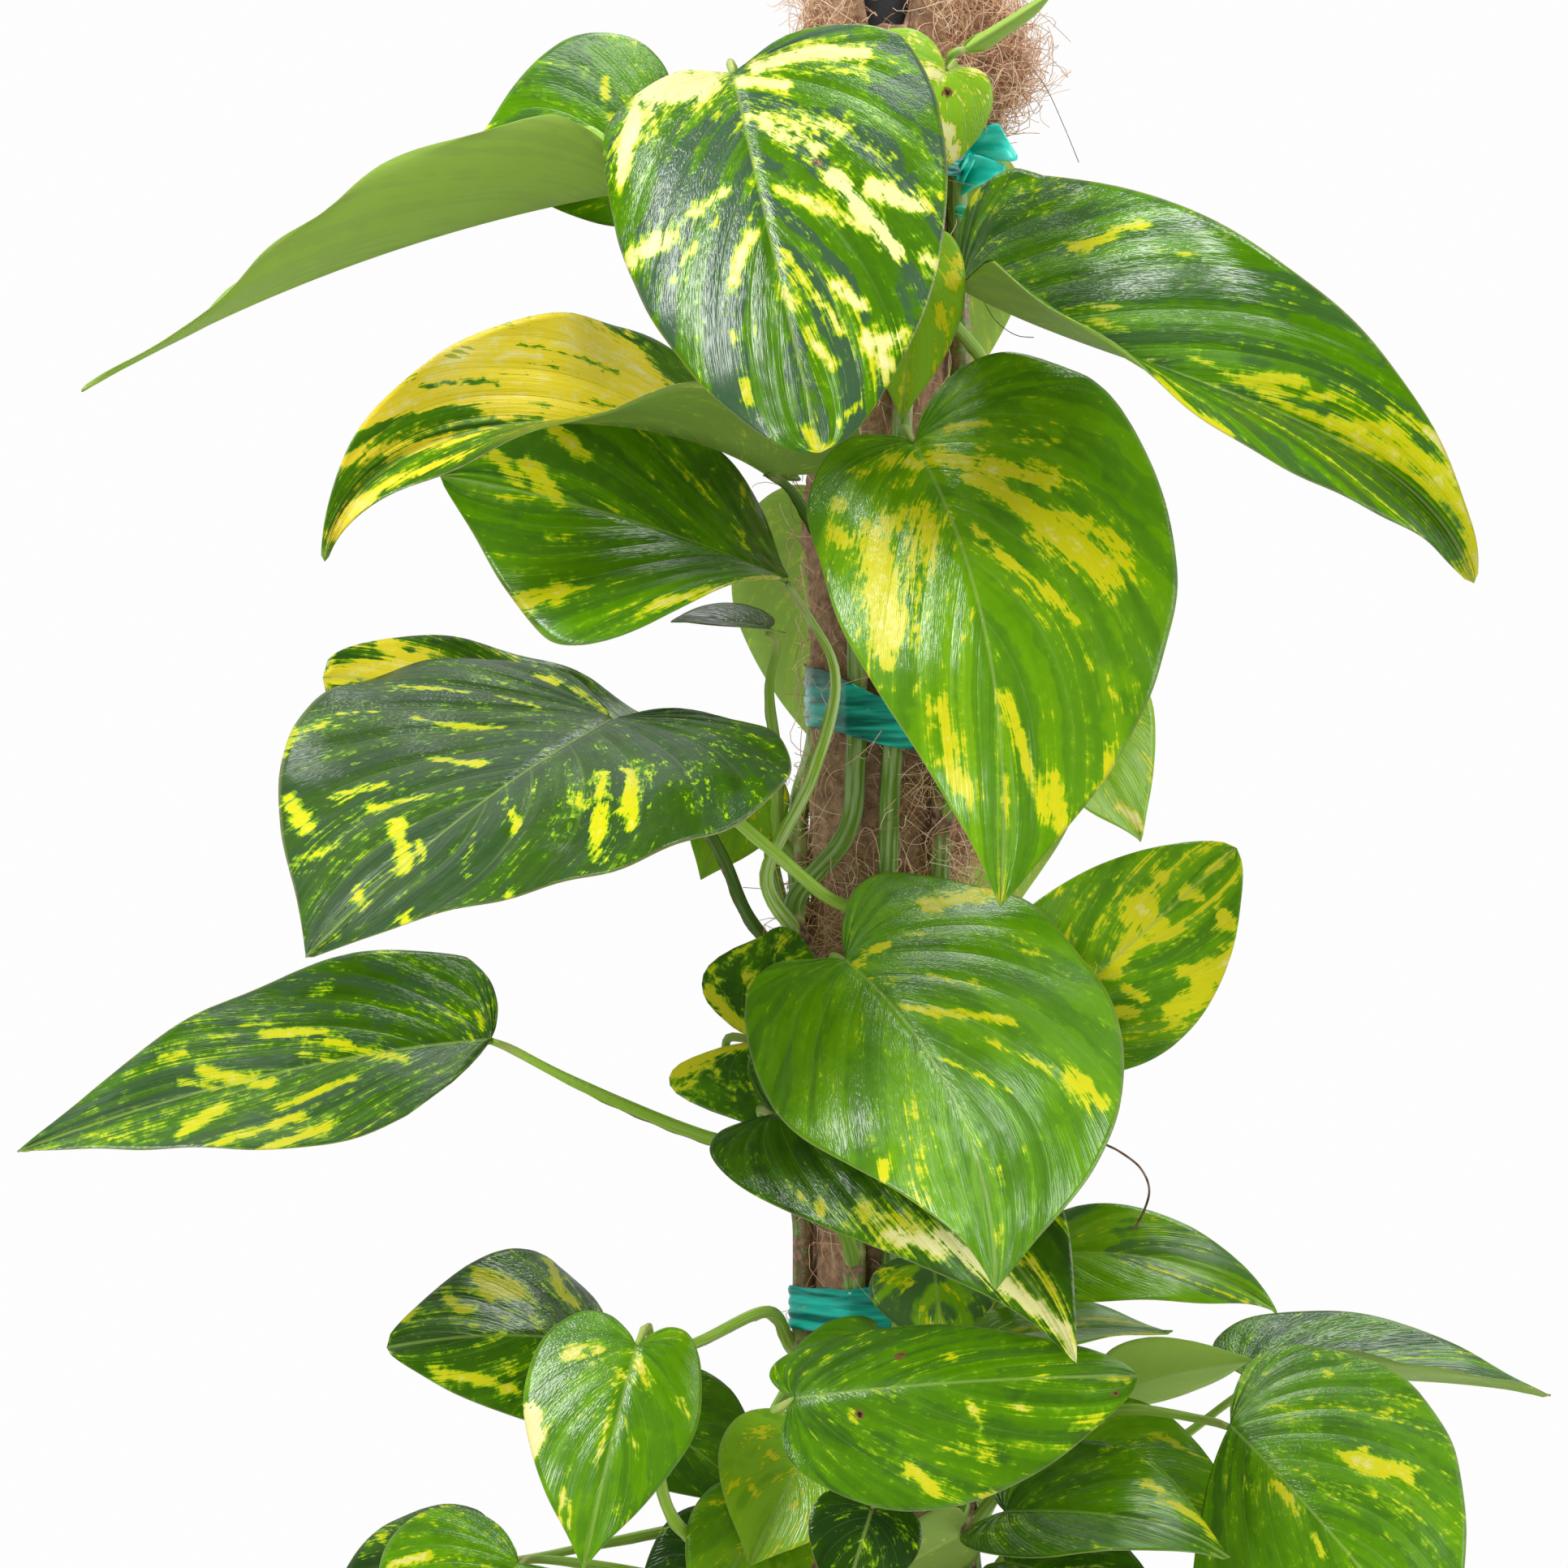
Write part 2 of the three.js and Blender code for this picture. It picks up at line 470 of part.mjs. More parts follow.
// Pole: a pipe in a sleeve of coir, which is lumpy, open in front at the top and hangs over on the right.
const PIPE_BOTTOM = 40;
const LUMP_IN_SOIL = 1;
const COIR_SIDES = 16;
const COIR_LEVELS = 26;
const LUMPS = [
  // angle from the front, height, how far it stands out
  [92, 655, 13],
  [112, 905, 6],
  [-95, 800, 5],
  [150, 610, 5],
  [-125, 490, 5],
  [130, 330, 4],
];
const LUMP_WIDTH = 22; // degrees
const LUMP_HEIGHT = 21;
const RIPPLE = 0.5;
const TUFT = { size: [30, 24, 38], middle: [38, 20, 1017] }; // what hangs over, as half lengths and place
const SLIT = { size: [24, 40, 60], middle: [-1, -30, 1063] }; // where the sleeve is torn open
function coirRadius(angle, height) {
  const ripple = Math.sin(3 * rad(angle) + height / 17) + Math.sin(height / 9 + 2 * rad(angle));
  const lumps = LUMPS.map(([at, level, size]) => {
    const away = ((((angle - at) % 360) + 540) % 360) - 180;
    return size * Math.exp(-((away / LUMP_WIDTH) ** 2) - ((height - level) / LUMP_HEIGHT) ** 2);
  });
  return COIR_RADIUS + RIPPLE * (ripple - 2) + lumps.reduce((all, one) => all + one, 0);
}
function coir() {
  const points = [];
  const faces = [];
  for (let i = 0; i <= COIR_LEVELS; i++) {
    const height = COIR_BOTTOM + ((COIR_TOP - COIR_BOTTOM) * i) / COIR_LEVELS;
    for (let j = 0; j < COIR_SIDES; j++) {
      const angle = (360 * j) / COIR_SIDES;
      points.push(round(angle, height, coirRadius(angle, height)));
    }
  }
  for (let i = 0; i < COIR_LEVELS; i++)
    for (let j = 0; j < COIR_SIDES; j++) {
      const [a, b] = [i * COIR_SIDES + j, i * COIR_SIDES + ((j + 1) % COIR_SIDES)];
      faces.push([a, b, b + COIR_SIDES], [a, b + COIR_SIDES, a + COIR_SIDES]);
    }
  const top = COIR_LEVELS * COIR_SIDES;
  points.push(round(0, COIR_BOTTOM, 0), round(0, COIR_TOP, 0));
  for (let j = 0; j < COIR_SIDES; j++) {
    const k = (j + 1) % COIR_SIDES;
    faces.push([k, j, points.length - 2], [top + j, top + k, points.length - 1]);
  }
  const tuft = new THREE.SphereGeometry(1, 12, 8).scale(...TUFT.size).translate(...TUFT.middle);
  const slit = new THREE.BoxGeometry(...SLIT.size).translate(...SLIT.middle);
  return solid(closed(points, faces))
    .add(solid(tuft))
    .subtract(solid(slit))
    .subtract(cylinder(PIPE_RADIUS + GAP, COIR_BOTTOM - 1, COIR_TOP + 60));
}
function pipe() {
  const inside = PIPE_RADIUS - PIPE_WALL;
  return turned(
    [
      [inside, PIPE_BOTTOM],
      [PIPE_RADIUS, PIPE_BOTTOM],
      [PIPE_RADIUS, PIPE_TOP],
      [inside, PIPE_TOP],
    ],
    24,
  );
}

// Ties: flat tape pulled straight round the coir and the stems. Each has a height, a width and a slant.
const TAPE = 0.8;
const TAPE_SLACK = 0.9; // between the tape and what it holds
const KNOT = { size: 9, across: 45.5, depth: -14 };
const TIES = {
  crown: { height: 966, width: 16, slant: 0 },
  upper: { height: 714, width: 15, slant: -14 },
  middle: { height: 541, width: 20, slant: 4 },
  lower: { height: 437, width: 20, slant: 6 },
};

// The convex outline round the coir and every stem at a height, a distance off them.
function outlineRound(height, off) {
  const circles = [[new THREE.Vector3(0, 0, height), COIR_RADIUS + 0.5]];
  for (const points of Object.values(STEMS)) {
    const curve = stemCurve(points);
    const centre = curve.getPoint(wayAt(curve, height));
    if (Math.abs(centre.z - height) < 1) circles.push([centre, STEM_RADIUS]);
  }
  const cloud = circles.flatMap(([centre, radius]) =>
    Array.from({ length: 12 }, (_, i) => {
      const turn = (2 * Math.PI * i) / 12;
      return [centre.x + (radius + off) * Math.cos(turn), centre.y + (radius + off) * Math.sin(turn)];
    }),
  );
  cloud.sort((p, q) => p[0] - q[0] || p[1] - q[1]);
  const chain = (list) => {
    const hull = [];
    for (const p of list) {
      while (hull.length > 1) {
        const [o, a] = hull.slice(-2);
        if ((a[0] - o[0]) * (p[1] - o[1]) - (a[1] - o[1]) * (p[0] - o[0]) > 1e-9) break;
        hull.pop();
      }
      hull.push(p);
    }
    return hull.slice(0, -1);
  };
  return [...chain(cloud), ...chain([...cloud].reverse())].map(([x, y]) => new THREE.Vector2(x, y));
}
function band(tie, off, extra) {
  const outline = new THREE.Shape(outlineRound(tie.height, off));
  const depth = tie.width + 2 * extra;
  const shape = new THREE.ExtrudeGeometry(outline, { depth, bevelEnabled: false });
  const slope = Math.tan(rad(tie.slant));
  const slanted = new THREE.Matrix4().makeShear(0, slope, 0, 0, 0, 0);
  slanted.setPosition(0, 0, tie.height - depth / 2);
  return solid(shape.applyMatrix4(slanted));
}

// The knot of the crown tie: its two ends stand out to the right like a bow and one piece hangs down.
const BOW = [
  // corners of each end as [across, height], and its depth
  [[46, 967], [67, 984], [66, 966], [50, 963]],
  [[44, 965], [62, 961], [54, 950], [44, 953]],
];
function bow() {
  const ends = BOW.map((corners) => {
    const outline = new THREE.Shape(corners.map(([x, z]) => new THREE.Vector2(x, z)));
    const sheet = new THREE.ExtrudeGeometry(outline, { depth: TAPE, bevelEnabled: false });
    return solid(sheet.rotateX(Math.PI / 2).translate(0, KNOT.depth, 0));
  });
  const knot = new THREE.BoxGeometry(KNOT.size, KNOT.size, KNOT.size);
  knot.translate(KNOT.across, KNOT.depth, TIES.crown.height);
  return ends.reduce((all, end) => all.add(end), solid(knot));
}
function tie(name) {
  const ring = band(TIES[name], TAPE_SLACK + TAPE, 0).subtract(band(TIES[name], TAPE_SLACK, 1));
  return name === "crown" ? ring.add(bow()) : ring;
}

const part = new THREE.Group();
part.add(mesh("pot", pot(), POT));
part.add(mesh("soil", soil(), SOIL));
part.add(mesh("pipe", pipe(), PIPE));
part.add(mesh("coir", coir(), COIR));
for (const name of Object.keys(TIES)) part.add(mesh(`tie_${name}`, tie(name), TIE));
for (const name of Object.keys(STEMS)) part.add(mesh(`stem_${name}`, stemWithPetioles(name), STEM));
for (const leaf of LEAVES) part.add(mesh(`leaf_${leaf.name}`, blade(leaf), LEAF));
export default part;
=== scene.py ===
# A potted golden pothos on a coir pole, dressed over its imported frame. Metres, +Z up, front view from -Y.
import contextlib
import math

import bmesh
import bpy
import numpy as np
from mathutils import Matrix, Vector


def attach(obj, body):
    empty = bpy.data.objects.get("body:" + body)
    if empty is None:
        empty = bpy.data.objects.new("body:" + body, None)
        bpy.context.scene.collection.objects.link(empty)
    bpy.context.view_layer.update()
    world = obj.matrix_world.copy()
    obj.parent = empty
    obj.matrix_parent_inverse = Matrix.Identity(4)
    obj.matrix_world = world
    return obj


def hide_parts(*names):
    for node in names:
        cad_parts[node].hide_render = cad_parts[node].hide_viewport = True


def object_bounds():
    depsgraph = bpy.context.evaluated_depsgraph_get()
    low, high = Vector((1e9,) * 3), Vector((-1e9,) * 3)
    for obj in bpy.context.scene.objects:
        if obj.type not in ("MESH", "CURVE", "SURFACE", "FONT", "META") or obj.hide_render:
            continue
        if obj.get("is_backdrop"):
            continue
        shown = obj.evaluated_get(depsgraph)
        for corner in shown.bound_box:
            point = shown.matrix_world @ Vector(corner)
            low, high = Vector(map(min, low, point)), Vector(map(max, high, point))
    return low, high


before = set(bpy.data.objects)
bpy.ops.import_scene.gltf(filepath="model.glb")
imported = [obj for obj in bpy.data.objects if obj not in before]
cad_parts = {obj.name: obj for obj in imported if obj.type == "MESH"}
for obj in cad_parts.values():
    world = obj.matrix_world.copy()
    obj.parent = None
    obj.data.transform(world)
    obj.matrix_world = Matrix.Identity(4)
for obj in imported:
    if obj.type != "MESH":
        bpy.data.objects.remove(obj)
cad_low, cad_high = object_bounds()
scene = bpy.context.scene

# View. The plant is seen level, from 1.8 m in front and a little left of the pole, as through a long
# lens, and the square frame takes in 734 mm at the pole.
EYE = Vector((-0.045, -1.8, 0.677))
SIGHT_WIDTH = 0.734
camera_data = bpy.data.cameras.new("front_camera")
camera_data.sensor_width = 36
camera_data.lens = camera_data.sensor_width * -EYE.y / SIGHT_WIDTH
camera = bpy.data.objects.new("front_camera", camera_data)
camera.location = EYE
camera.rotation_euler = (math.radians(90), 0, 0)
scene.collection.objects.link(camera)
scene.camera = camera
scene.view_settings.view_transform = "Standard"

# Light. A white room lights the plant evenly, and three large soft boxes model the leaves: the brightest
# from high in front on the left. In its sheen the plant shows a bright wall behind, a dark room in front and
# a few bright panes overhead.
ROOM_GLOW = 0.54
WALL_SHEEN = 0.7
FRONT_SHEEN = 0.02
ROOM_SEEN = 0.985
SOFT_BOXES = {
    # place, height on the pole that it aims at, size and power
    "key_box": ((-2.0, -1.35, 2.2), 0.7, 0.9, 64),
    "side_box": ((2.1, -0.5, 1.4), 0.7, 1.2, 22),
    "top_box": ((0.35, -0.45, 2.4), 0.6, 0.6, 9),
}
PANES = [
    # direction, half width in degrees and brightness
    ((-0.42, -0.26, 0.87), 6, 6),
    ((0.05, -0.16, 0.98), 8, 8),
    ((0.16, 0.43, 0.89), 10, 7),
]


def put(tree, kind, inputs=None, **settings):
    """Adds a node, sets its properties, and feeds its inputs with values, sockets or nodes' first outputs."""
    made = tree.nodes.new(kind)
    for name, value in settings.items():
        setattr(made, name, value)
    for key, value in (inputs or {}).items():
        if isinstance(value, bpy.types.Node):
            value = value.outputs[0]
        if isinstance(value, bpy.types.NodeSocket):
            tree.links.new(value, made.inputs[key])
        else:
            made.inputs[key].default_value = value
    return made


def combined(tree, operation, first, second=0.0):
    return put(tree, "ShaderNodeMath", {0: first, 1: second}, operation=operation)


def ranged(tree, value, low, high, first=0.0, last=1.0):
    return put(tree, "ShaderNodeMapRange", {0: value, 1: low, 2: high, 3: first, 4: last})


for name, (place, aim, size, power) in SOFT_BOXES.items():
    data = bpy.data.lights.new(name, "AREA")
    data.shape = "SQUARE"
    data.size = size
    data.energy = power
    lamp = bpy.data.objects.new(name, data)
    lamp.location = place
    lamp.rotation_euler = (Vector((0, 0, aim)) - Vector(place)).to_track_quat("-Z", "Y").to_euler()
    scene.collection.objects.link(lamp)

room = bpy.data.worlds.new("white_room")
scene.world = room
room.use_nodes = True
tree = room.node_tree
tree.nodes.clear()
rays = put(tree, "ShaderNodeLightPath")
way = put(tree, "ShaderNodeTexCoord").outputs["Generated"]
facing = put(tree, "ShaderNodeSeparateXYZ", {0: way})
sheen = ranged(tree, facing.outputs[1], -0.12, 0.3, FRONT_SHEEN, WALL_SHEEN)
for direction, half_width, brightness in PANES:
    towards = Vector(direction).normalized()
    nearness = put(tree, "ShaderNodeVectorMath", {0: way, 1: towards}, operation="DOT_PRODUCT")
    outside, inside = (math.cos(math.radians(half_width + soft)) for soft in (3, -2))
    pane = ranged(tree, nearness.outputs["Value"], outside, inside, 0.0, float(brightness))
    sheen = combined(tree, "ADD", sheen, pane)
lit = ranged(tree, rays.outputs["Is Glossy Ray"], 0.0, 1.0, ROOM_GLOW, sheen)
glow = ranged(tree, rays.outputs["Is Camera Ray"], 0.0, 1.0, lit, ROOM_SEEN)
backdrop = put(tree, "ShaderNodeBackground", {"Color": (1, 1, 1, 1), "Strength": glow})
put(tree, "ShaderNodeOutputWorld", {"Surface": backdrop})

# Floor. A round sheet, painted a plain pale matt colour, lies under the pot. The front view doesn't reach it,
# and in the others it takes the pot's shadow.
FLOOR_RADIUS = 1.2
FLOOR_CORNERS = 64


def new_piece(name, points, faces, materials, smooth=True):
    """Makes an object from points and faces, shaded smooth unless told otherwise, with its materials."""
    mesh = bpy.data.meshes.new(name)
    mesh.from_pydata([tuple(p) for p in points], [], [tuple(f) for f in faces])
    for material in materials:
        mesh.materials.append(material)
    mesh.polygons.foreach_set("use_smooth", [smooth] * len(mesh.polygons))
    mesh.update()
    piece = bpy.data.objects.new(name, mesh)
    scene.collection.objects.link(piece)
    return piece


def new_material(name, **settings):
    """Makes a material from a Principled shader with its plain values, and gives its tree and shader."""
    material = bpy.data.materials.new(name)
    material.use_nodes = True
    tree = material.node_tree
    tree.nodes.clear()
    shader = put(tree, "ShaderNodeBsdfPrincipled", {key.replace("_", " "): v for key, v in settings.items()})
    put(tree, "ShaderNodeOutputMaterial", {"Surface": shader.outputs[0]})
    return material, tree, shader


def new_group(name, inputs, outputs):
    """Makes a shader group from {name: default} inputs and {name: kind} outputs, with its ways in and out."""
    group = bpy.data.node_groups.new(name, "ShaderNodeTree")
    for label, value in inputs.items():
        kind = "NodeSocketFloat" if isinstance(value, (int, float)) else "NodeSocketColor"
        socket = group.interface.new_socket(label, in_out="INPUT", socket_type=kind)
        socket.default_value = value
    for label, kind in outputs.items():
        group.interface.new_socket(label, in_out="OUTPUT", socket_type="NodeSocket" + kind)
    return group, put(group, "NodeGroupInput").outputs, put(group, "NodeGroupOutput").inputs


def noise(tree, place, scale, detail=2.0, **others):
    return put(tree, "ShaderNodeTexNoise", {"Vector": place, "Scale": scale, "Detail": detail, **others})


def mixed(tree, share, first, second):
    return put(tree, "ShaderNodeMix", {0: share, 6: first, 7: second}, data_type="RGBA").outputs[2]


def bumped(tree, shader, height, strength, distance, **settings):
    """Feeds a shader's normal with bumps of a height."""
    depth = {"Height": height, "Strength": strength, "Distance": distance}
    raised = put(tree, "ShaderNodeBump", depth, **settings)
    tree.links.new(raised.outputs[0], shader.inputs["Normal"])


# Mottle: two sizes of soft noise mixed into a colour between two others, and a fine height for bumps.
mottle, entry, result = new_group(
    "mottle",
    {"First": (0, 0, 0, 1), "Second": (1, 1, 1, 1), "Scale": 40.0, "Balance": 0.5},
    {"Color": "Color", "Height": "Float"},
)
object_at = put(mottle, "ShaderNodeTexCoord").outputs["Object"]
broad = noise(mottle, object_at, entry["Scale"])
grain = noise(mottle, object_at, combined(mottle, "MULTIPLY", entry["Scale"], 9.0), 5.0)
shift = combined(mottle, "ADD", combined(mottle, "ADD", broad, grain), entry["Balance"])
blend = mixed(mottle, ranged(mottle, shift, 1.2, 1.8), entry["First"], entry["Second"])
mottle.links.new(blend, result["Color"])
mottle.links.new(grain.outputs[0], result["Height"])


def mottled(name, first, second, scale, bump, **settings):
    """Makes a material with its colour and its bumps from the mottle group."""
    material, tree, shader = new_material(name, **settings)
    colours = {"First": (*first, 1), "Second": (*second, 1), "Scale": scale}
    made = put(tree, "ShaderNodeGroup", colours, node_tree=mottle)
    tree.links.new(made.outputs["Color"], shader.inputs["Base Color"])
    bumped(tree, shader, made.outputs["Height"], bump, 0.001)
    return material


floor_paint = mottled("floor_paint", (0.82, 0.82, 0.81), (0.86, 0.86, 0.85), 3, 0.1, Roughness=0.7)
turns = [2 * math.pi * i / FLOOR_CORNERS for i in range(FLOOR_CORNERS)]
rim = [(FLOOR_RADIUS * math.cos(turn), FLOOR_RADIUS * math.sin(turn), cad_low.z) for turn in turns]
floor = new_piece("floor", rim, [range(FLOOR_CORNERS)], [floor_paint], smooth=False)
floor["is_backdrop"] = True

# Pot. A plain tapered nursery pot of thin moulded plastic with a rolled rim. Its flat underside has a
# ring of drain holes.
POT_HEIGHT = 0.215
POT_TOP_RADIUS = 0.125
POT_BASE_RADIUS = 0.088
POT_WALL = 0.0025
POT_FLOOR = 0.003
RIM_HEIGHT = 0.016
RIM_DEPTH = 0.004
DRAIN_HOLES = 8
DRAIN_RING = 0.062
DRAIN_RADIUS = 0.006
DRILL_SIDES = 24
POT_SIDES = 128
POT_ROUNDING = 0.0012


def pot_radius(height):
    return POT_BASE_RADIUS + (POT_TOP_RADIUS - POT_BASE_RADIUS) * height / POT_HEIGHT


def turned(name, corners, segments, material):
    """Turns [radius, height] corners about the pole's axis. A corner on the axis becomes one point."""
    points = []
    rings = []
    for radius, height in corners:
        ring = []
        for j in range(segments if radius > 0 else 1):
            turn = 2 * math.pi * j / segments
            ring.append(len(points))
            points.append((radius * math.cos(turn), radius * math.sin(turn), height))
        rings.append(ring)
    faces = []
    for low, high in zip(rings, rings[1:]):
        for j in range(segments):
            k = (j + 1) % segments
            corner = [low[j % len(low)], low[k % len(low)], high[k % len(high)], high[j % len(high)]]
            faces.append(list(dict.fromkeys(corner)))
    return new_piece(name, points, faces, [material])


def rounded(corners, radius, steps=3):
    """Rounds each inner corner of an open [radius, height] profile."""
    out = [corners[0]]
    for before, here, after in zip(corners, corners[1:], corners[2:]):
        into = Vector(before) - Vector(here)
        away = Vector(after) - Vector(here)
        cut = min(radius, into.length / 2, away.length / 2)
        start = Vector(here) + into.normalized() * cut
        end = Vector(here) + away.normalized() * cut
        for i in range(steps + 1):
            way = i / steps
            out.append(tuple(start * (1 - way) ** 2 + Vector(here) * 2 * way * (1 - way) + end * way**2))
    return [*out, corners[-1]]


def applied(piece):
    """Turns a piece with modifiers into a plain mesh of the same shape."""
    made = bpy.data.meshes.new_from_object(piece.evaluated_get(bpy.context.evaluated_depsgraph_get()))
    piece.modifiers.clear()
    piece.data = made
    return piece


pot_plastic = mottled(
    "pot_plastic", (0.035, 0.037, 0.04), (0.06, 0.062, 0.064), 25, 0.25, Roughness=0.5, Specular_IOR_Level=0.4
)
under_rim = POT_HEIGHT - RIM_HEIGHT
pot = turned(
    "nursery_pot",
    rounded(
        [
            (0, 0),
            (POT_BASE_RADIUS, 0),
            (pot_radius(under_rim), under_rim),
            (pot_radius(under_rim) + RIM_DEPTH, under_rim),
            (pot_radius(POT_HEIGHT) + RIM_DEPTH, POT_HEIGHT),
            (pot_radius(POT_HEIGHT) - POT_WALL, POT_HEIGHT),
            (pot_radius(POT_FLOOR) - POT_WALL, POT_FLOOR),
            (0, POT_FLOOR),
        ],
        POT_ROUNDING,
    ),
    POT_SIDES,
    pot_plastic,
)
drill_points = []
drill_faces = []
for i in range(DRAIN_HOLES):
    middle = 2 * math.pi * i / DRAIN_HOLES
    low = len(drill_points)
    high = low + DRILL_SIDES
    for height in (-POT_FLOOR, 2 * POT_FLOOR):
        for j in range(DRILL_SIDES):
            turn = 2 * math.pi * j / DRILL_SIDES
            drill_points.append((
                DRAIN_RING * math.cos(middle) + DRAIN_RADIUS * math.cos(turn),
                DRAIN_RING * math.sin(middle) + DRAIN_RADIUS * math.sin(turn),
                height,
            ))
    for j in range(DRILL_SIDES):
        k = (j + 1) % DRILL_SIDES
        drill_faces.append([low + j, low + k, high + k, high + j])
    drill_faces += [range(high - 1, low - 1, -1), range(high, high + DRILL_SIDES)]
drill = new_piece("drill", drill_points, drill_faces, [])
cut = pot.modifiers.new("drain_holes", "BOOLEAN")
cut.object = drill
cut.solver = "EXACT"
applied(pot)
bpy.data.objects.remove(drill)
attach(pot, "root")
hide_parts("pot")

# Soil. Dark potting mix heaped a little towards the pole, with crumbs of bark and a few white grains
# of perlite lying on it.
SOIL_TOP = 0.192
SOIL_MOUND = 0.010
SOIL_SIDES = 120
SOIL_RINGS = 60
CRUMBLE = 0.0014
GAP = 0.0003


def waves(seed, lengths, count=14):
    """Smooth seeded relief in space: a sum of sine waves of about the given lengths, about 1 high."""
    draw = np.random.default_rng(seed)
    turns = draw.normal(size=(count, 3))
    turns *= (2 * np.pi / draw.uniform(*lengths, size=count) / np.linalg.norm(turns, axis=1))[:, None]
    phases = draw.uniform(0, 2 * np.pi, count)
    return lambda places: np.sin(places @ turns.T + phases).sum(axis=1) / math.sqrt(count / 2)


soil_mix = mottled("soil_mix", (0.018, 0.012, 0.008), (0.075, 0.048, 0.03), 120, 1.0, Roughness=0.95)
against = pot_radius(SOIL_TOP) - POT_WALL - GAP
foot = pot_radius(POT_FLOOR) - POT_WALL - GAP
heap_profile = [(0, POT_FLOOR + GAP), (foot, POT_FLOOR + GAP), (against, SOIL_TOP)]
for i in range(1, SOIL_RINGS + 1):
    inward = against * (1 - i / SOIL_RINGS)
    heap_profile.append((inward, SOIL_TOP + SOIL_MOUND * min(1, (1 - inward / against) * 1.6)))
soil = turned("potting_soil", heap_profile, SOIL_SIDES, soil_mix)
places = np.array([v.co for v in soil.data.vertices])
crumble = waves(3, (0.006, 0.03), 30)
top = (places[:, 2] > SOIL_TOP + 0.0001)[:, None]
places[:, 2:] += np.where(top, CRUMBLE * crumble(places)[:, None], 0)
soil.data.vertices.foreach_set("co", places.ravel())
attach(soil, "root")
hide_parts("soil")


def new_tree(name, inputs):
    """Makes a Geometry Nodes tree from {name: socket kind}: the tree, its way in and points on its ground."""
    made = bpy.data.node_groups.new(name, "GeometryNodeTree")
    made.interface.new_socket("Geometry", in_out="INPUT", socket_type="NodeSocketGeometry")
    for label, kind in inputs.items():
        made.interface.new_socket(label, in_out="INPUT", socket_type="NodeSocket" + kind)
    made.interface.new_socket("Geometry", in_out="OUTPUT", socket_type="NodeSocketGeometry")
    entry = put(made, "NodeGroupInput").outputs
    ground = {"Mesh": entry["Geometry"], "Density": entry["Density"], "Seed": entry["Seed"]}
    return made, entry, put(made, "GeometryNodeDistributePointsOnFaces", ground).outputs


def end_tree(tree, growth, material):
    """Makes what a tree has grown real, sets its material, and leads it out."""
    real = put(tree, "GeometryNodeRealizeInstances", {0: growth})
    dressed = put(tree, "GeometryNodeSetMaterial", {"Geometry": real, "Material": material})
    put(tree, "NodeGroupOutput", {0: dressed})


def grown(name, ground, growth, values):
    """Runs a Geometry Nodes tree on a copy of a ground mesh and keeps its result as a plain piece."""
    piece = bpy.data.objects.new(name, ground.data.copy())
    scene.collection.objects.link(piece)
    modifier = piece.modifiers.new(name, "NODES")
    modifier.node_group = growth
    for socket in growth.interface.items_tree:
        if socket.in_out == "INPUT" and socket.name in values:
            modifier[socket.identifier] = values[socket.name]
    return applied(piece)


def kept_faces(name, source, keep):
    """A copy of the faces of a piece that pass a test, as ground for growing."""
    shape = bmesh.new()
    shape.from_mesh(source.data)
    bmesh.ops.delete(shape, geom=[f for f in shape.faces if not keep(f)], context="FACES")
    kept = bpy.data.meshes.new(name)
    shape.to_mesh(kept)
    shape.free()
    return bpy.data.objects.new(name, kept)


crumb_tree, entry, spots = new_tree(
    "crumbs", {"Density": "Float", "Size": "Float", "Seed": "Int", "Material": "Material"}
)
lump = put(crumb_tree, "GeometryNodeMeshIcoSphere", {"Radius": 1.0, "Subdivisions": 1})
turn, girth = (
    put(crumb_tree, "FunctionNodeRandomValue", {0: least, 1: most}, data_type="FLOAT_VECTOR")
    for least, most in (((0, 0, 0), (6.28, 6.28, 6.28)), ((0.3, 0.3, 0.2), (1.5, 1.0, 0.6)))
)
size = put(crumb_tree, "ShaderNodeVectorMath", {0: girth, "Scale": entry["Size"]}, operation="SCALE")
placed = put(
    crumb_tree,
    "GeometryNodeInstanceOnPoints",
    {"Points": spots["Points"], "Instance": lump, "Rotation": turn, "Scale": size},
)
end_tree(crumb_tree, placed, entry["Material"])

bark = mottled("bark_crumbs", (0.03, 0.018, 0.01), (0.16, 0.09, 0.05), 60, 0.6, Roughness=0.9)
perlite = mottled("perlite_grains", (0.6, 0.58, 0.54), (0.8, 0.79, 0.76), 200, 0.5, Roughness=0.9)
bed = kept_faces(
    "soil_bed",
    soil,
    lambda f: f.normal.z > 0.3 and f.calc_center_median().z > SOIL_TOP + 0.0005
    and 0.04 < f.calc_center_median().to_2d().length < against - 0.006,
)
CRUMB_KINDS = [
    # name, how many to a square metre, size, seed and material
    ("bark_crumbs", 29400, 0.0026, 5, bark),
    ("perlite_grains", 2520, 0.0018, 6, perlite),
]
for name, density, size, seed, material in CRUMB_KINDS:
    values = {"Density": density, "Size": size, "Seed": seed, "Material": material}
    crumbs = grown(name, bed, crumb_tree, values)
    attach(crumbs, "root")
    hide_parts("soil")

# Pipe. A dark slate-grey plastic pipe, sawn square, runs up the middle of the pole from the soil, and its cut
# end stands out at the top.
PIPE_RADIUS = 0.014
PIPE_WALL = 0.002
PIPE_TOP = 1.088
PIPE_BOTTOM = 0.040
PIPE_SIDES = 64
SAWN_EDGE = 0.0004


@contextlib.contextmanager
def opened(mesh):
    """Opens a mesh for editing and closes it again."""
    shape = bmesh.new()
    shape.from_mesh(mesh)
    yield shape
    shape.to_mesh(mesh)
    shape.free()


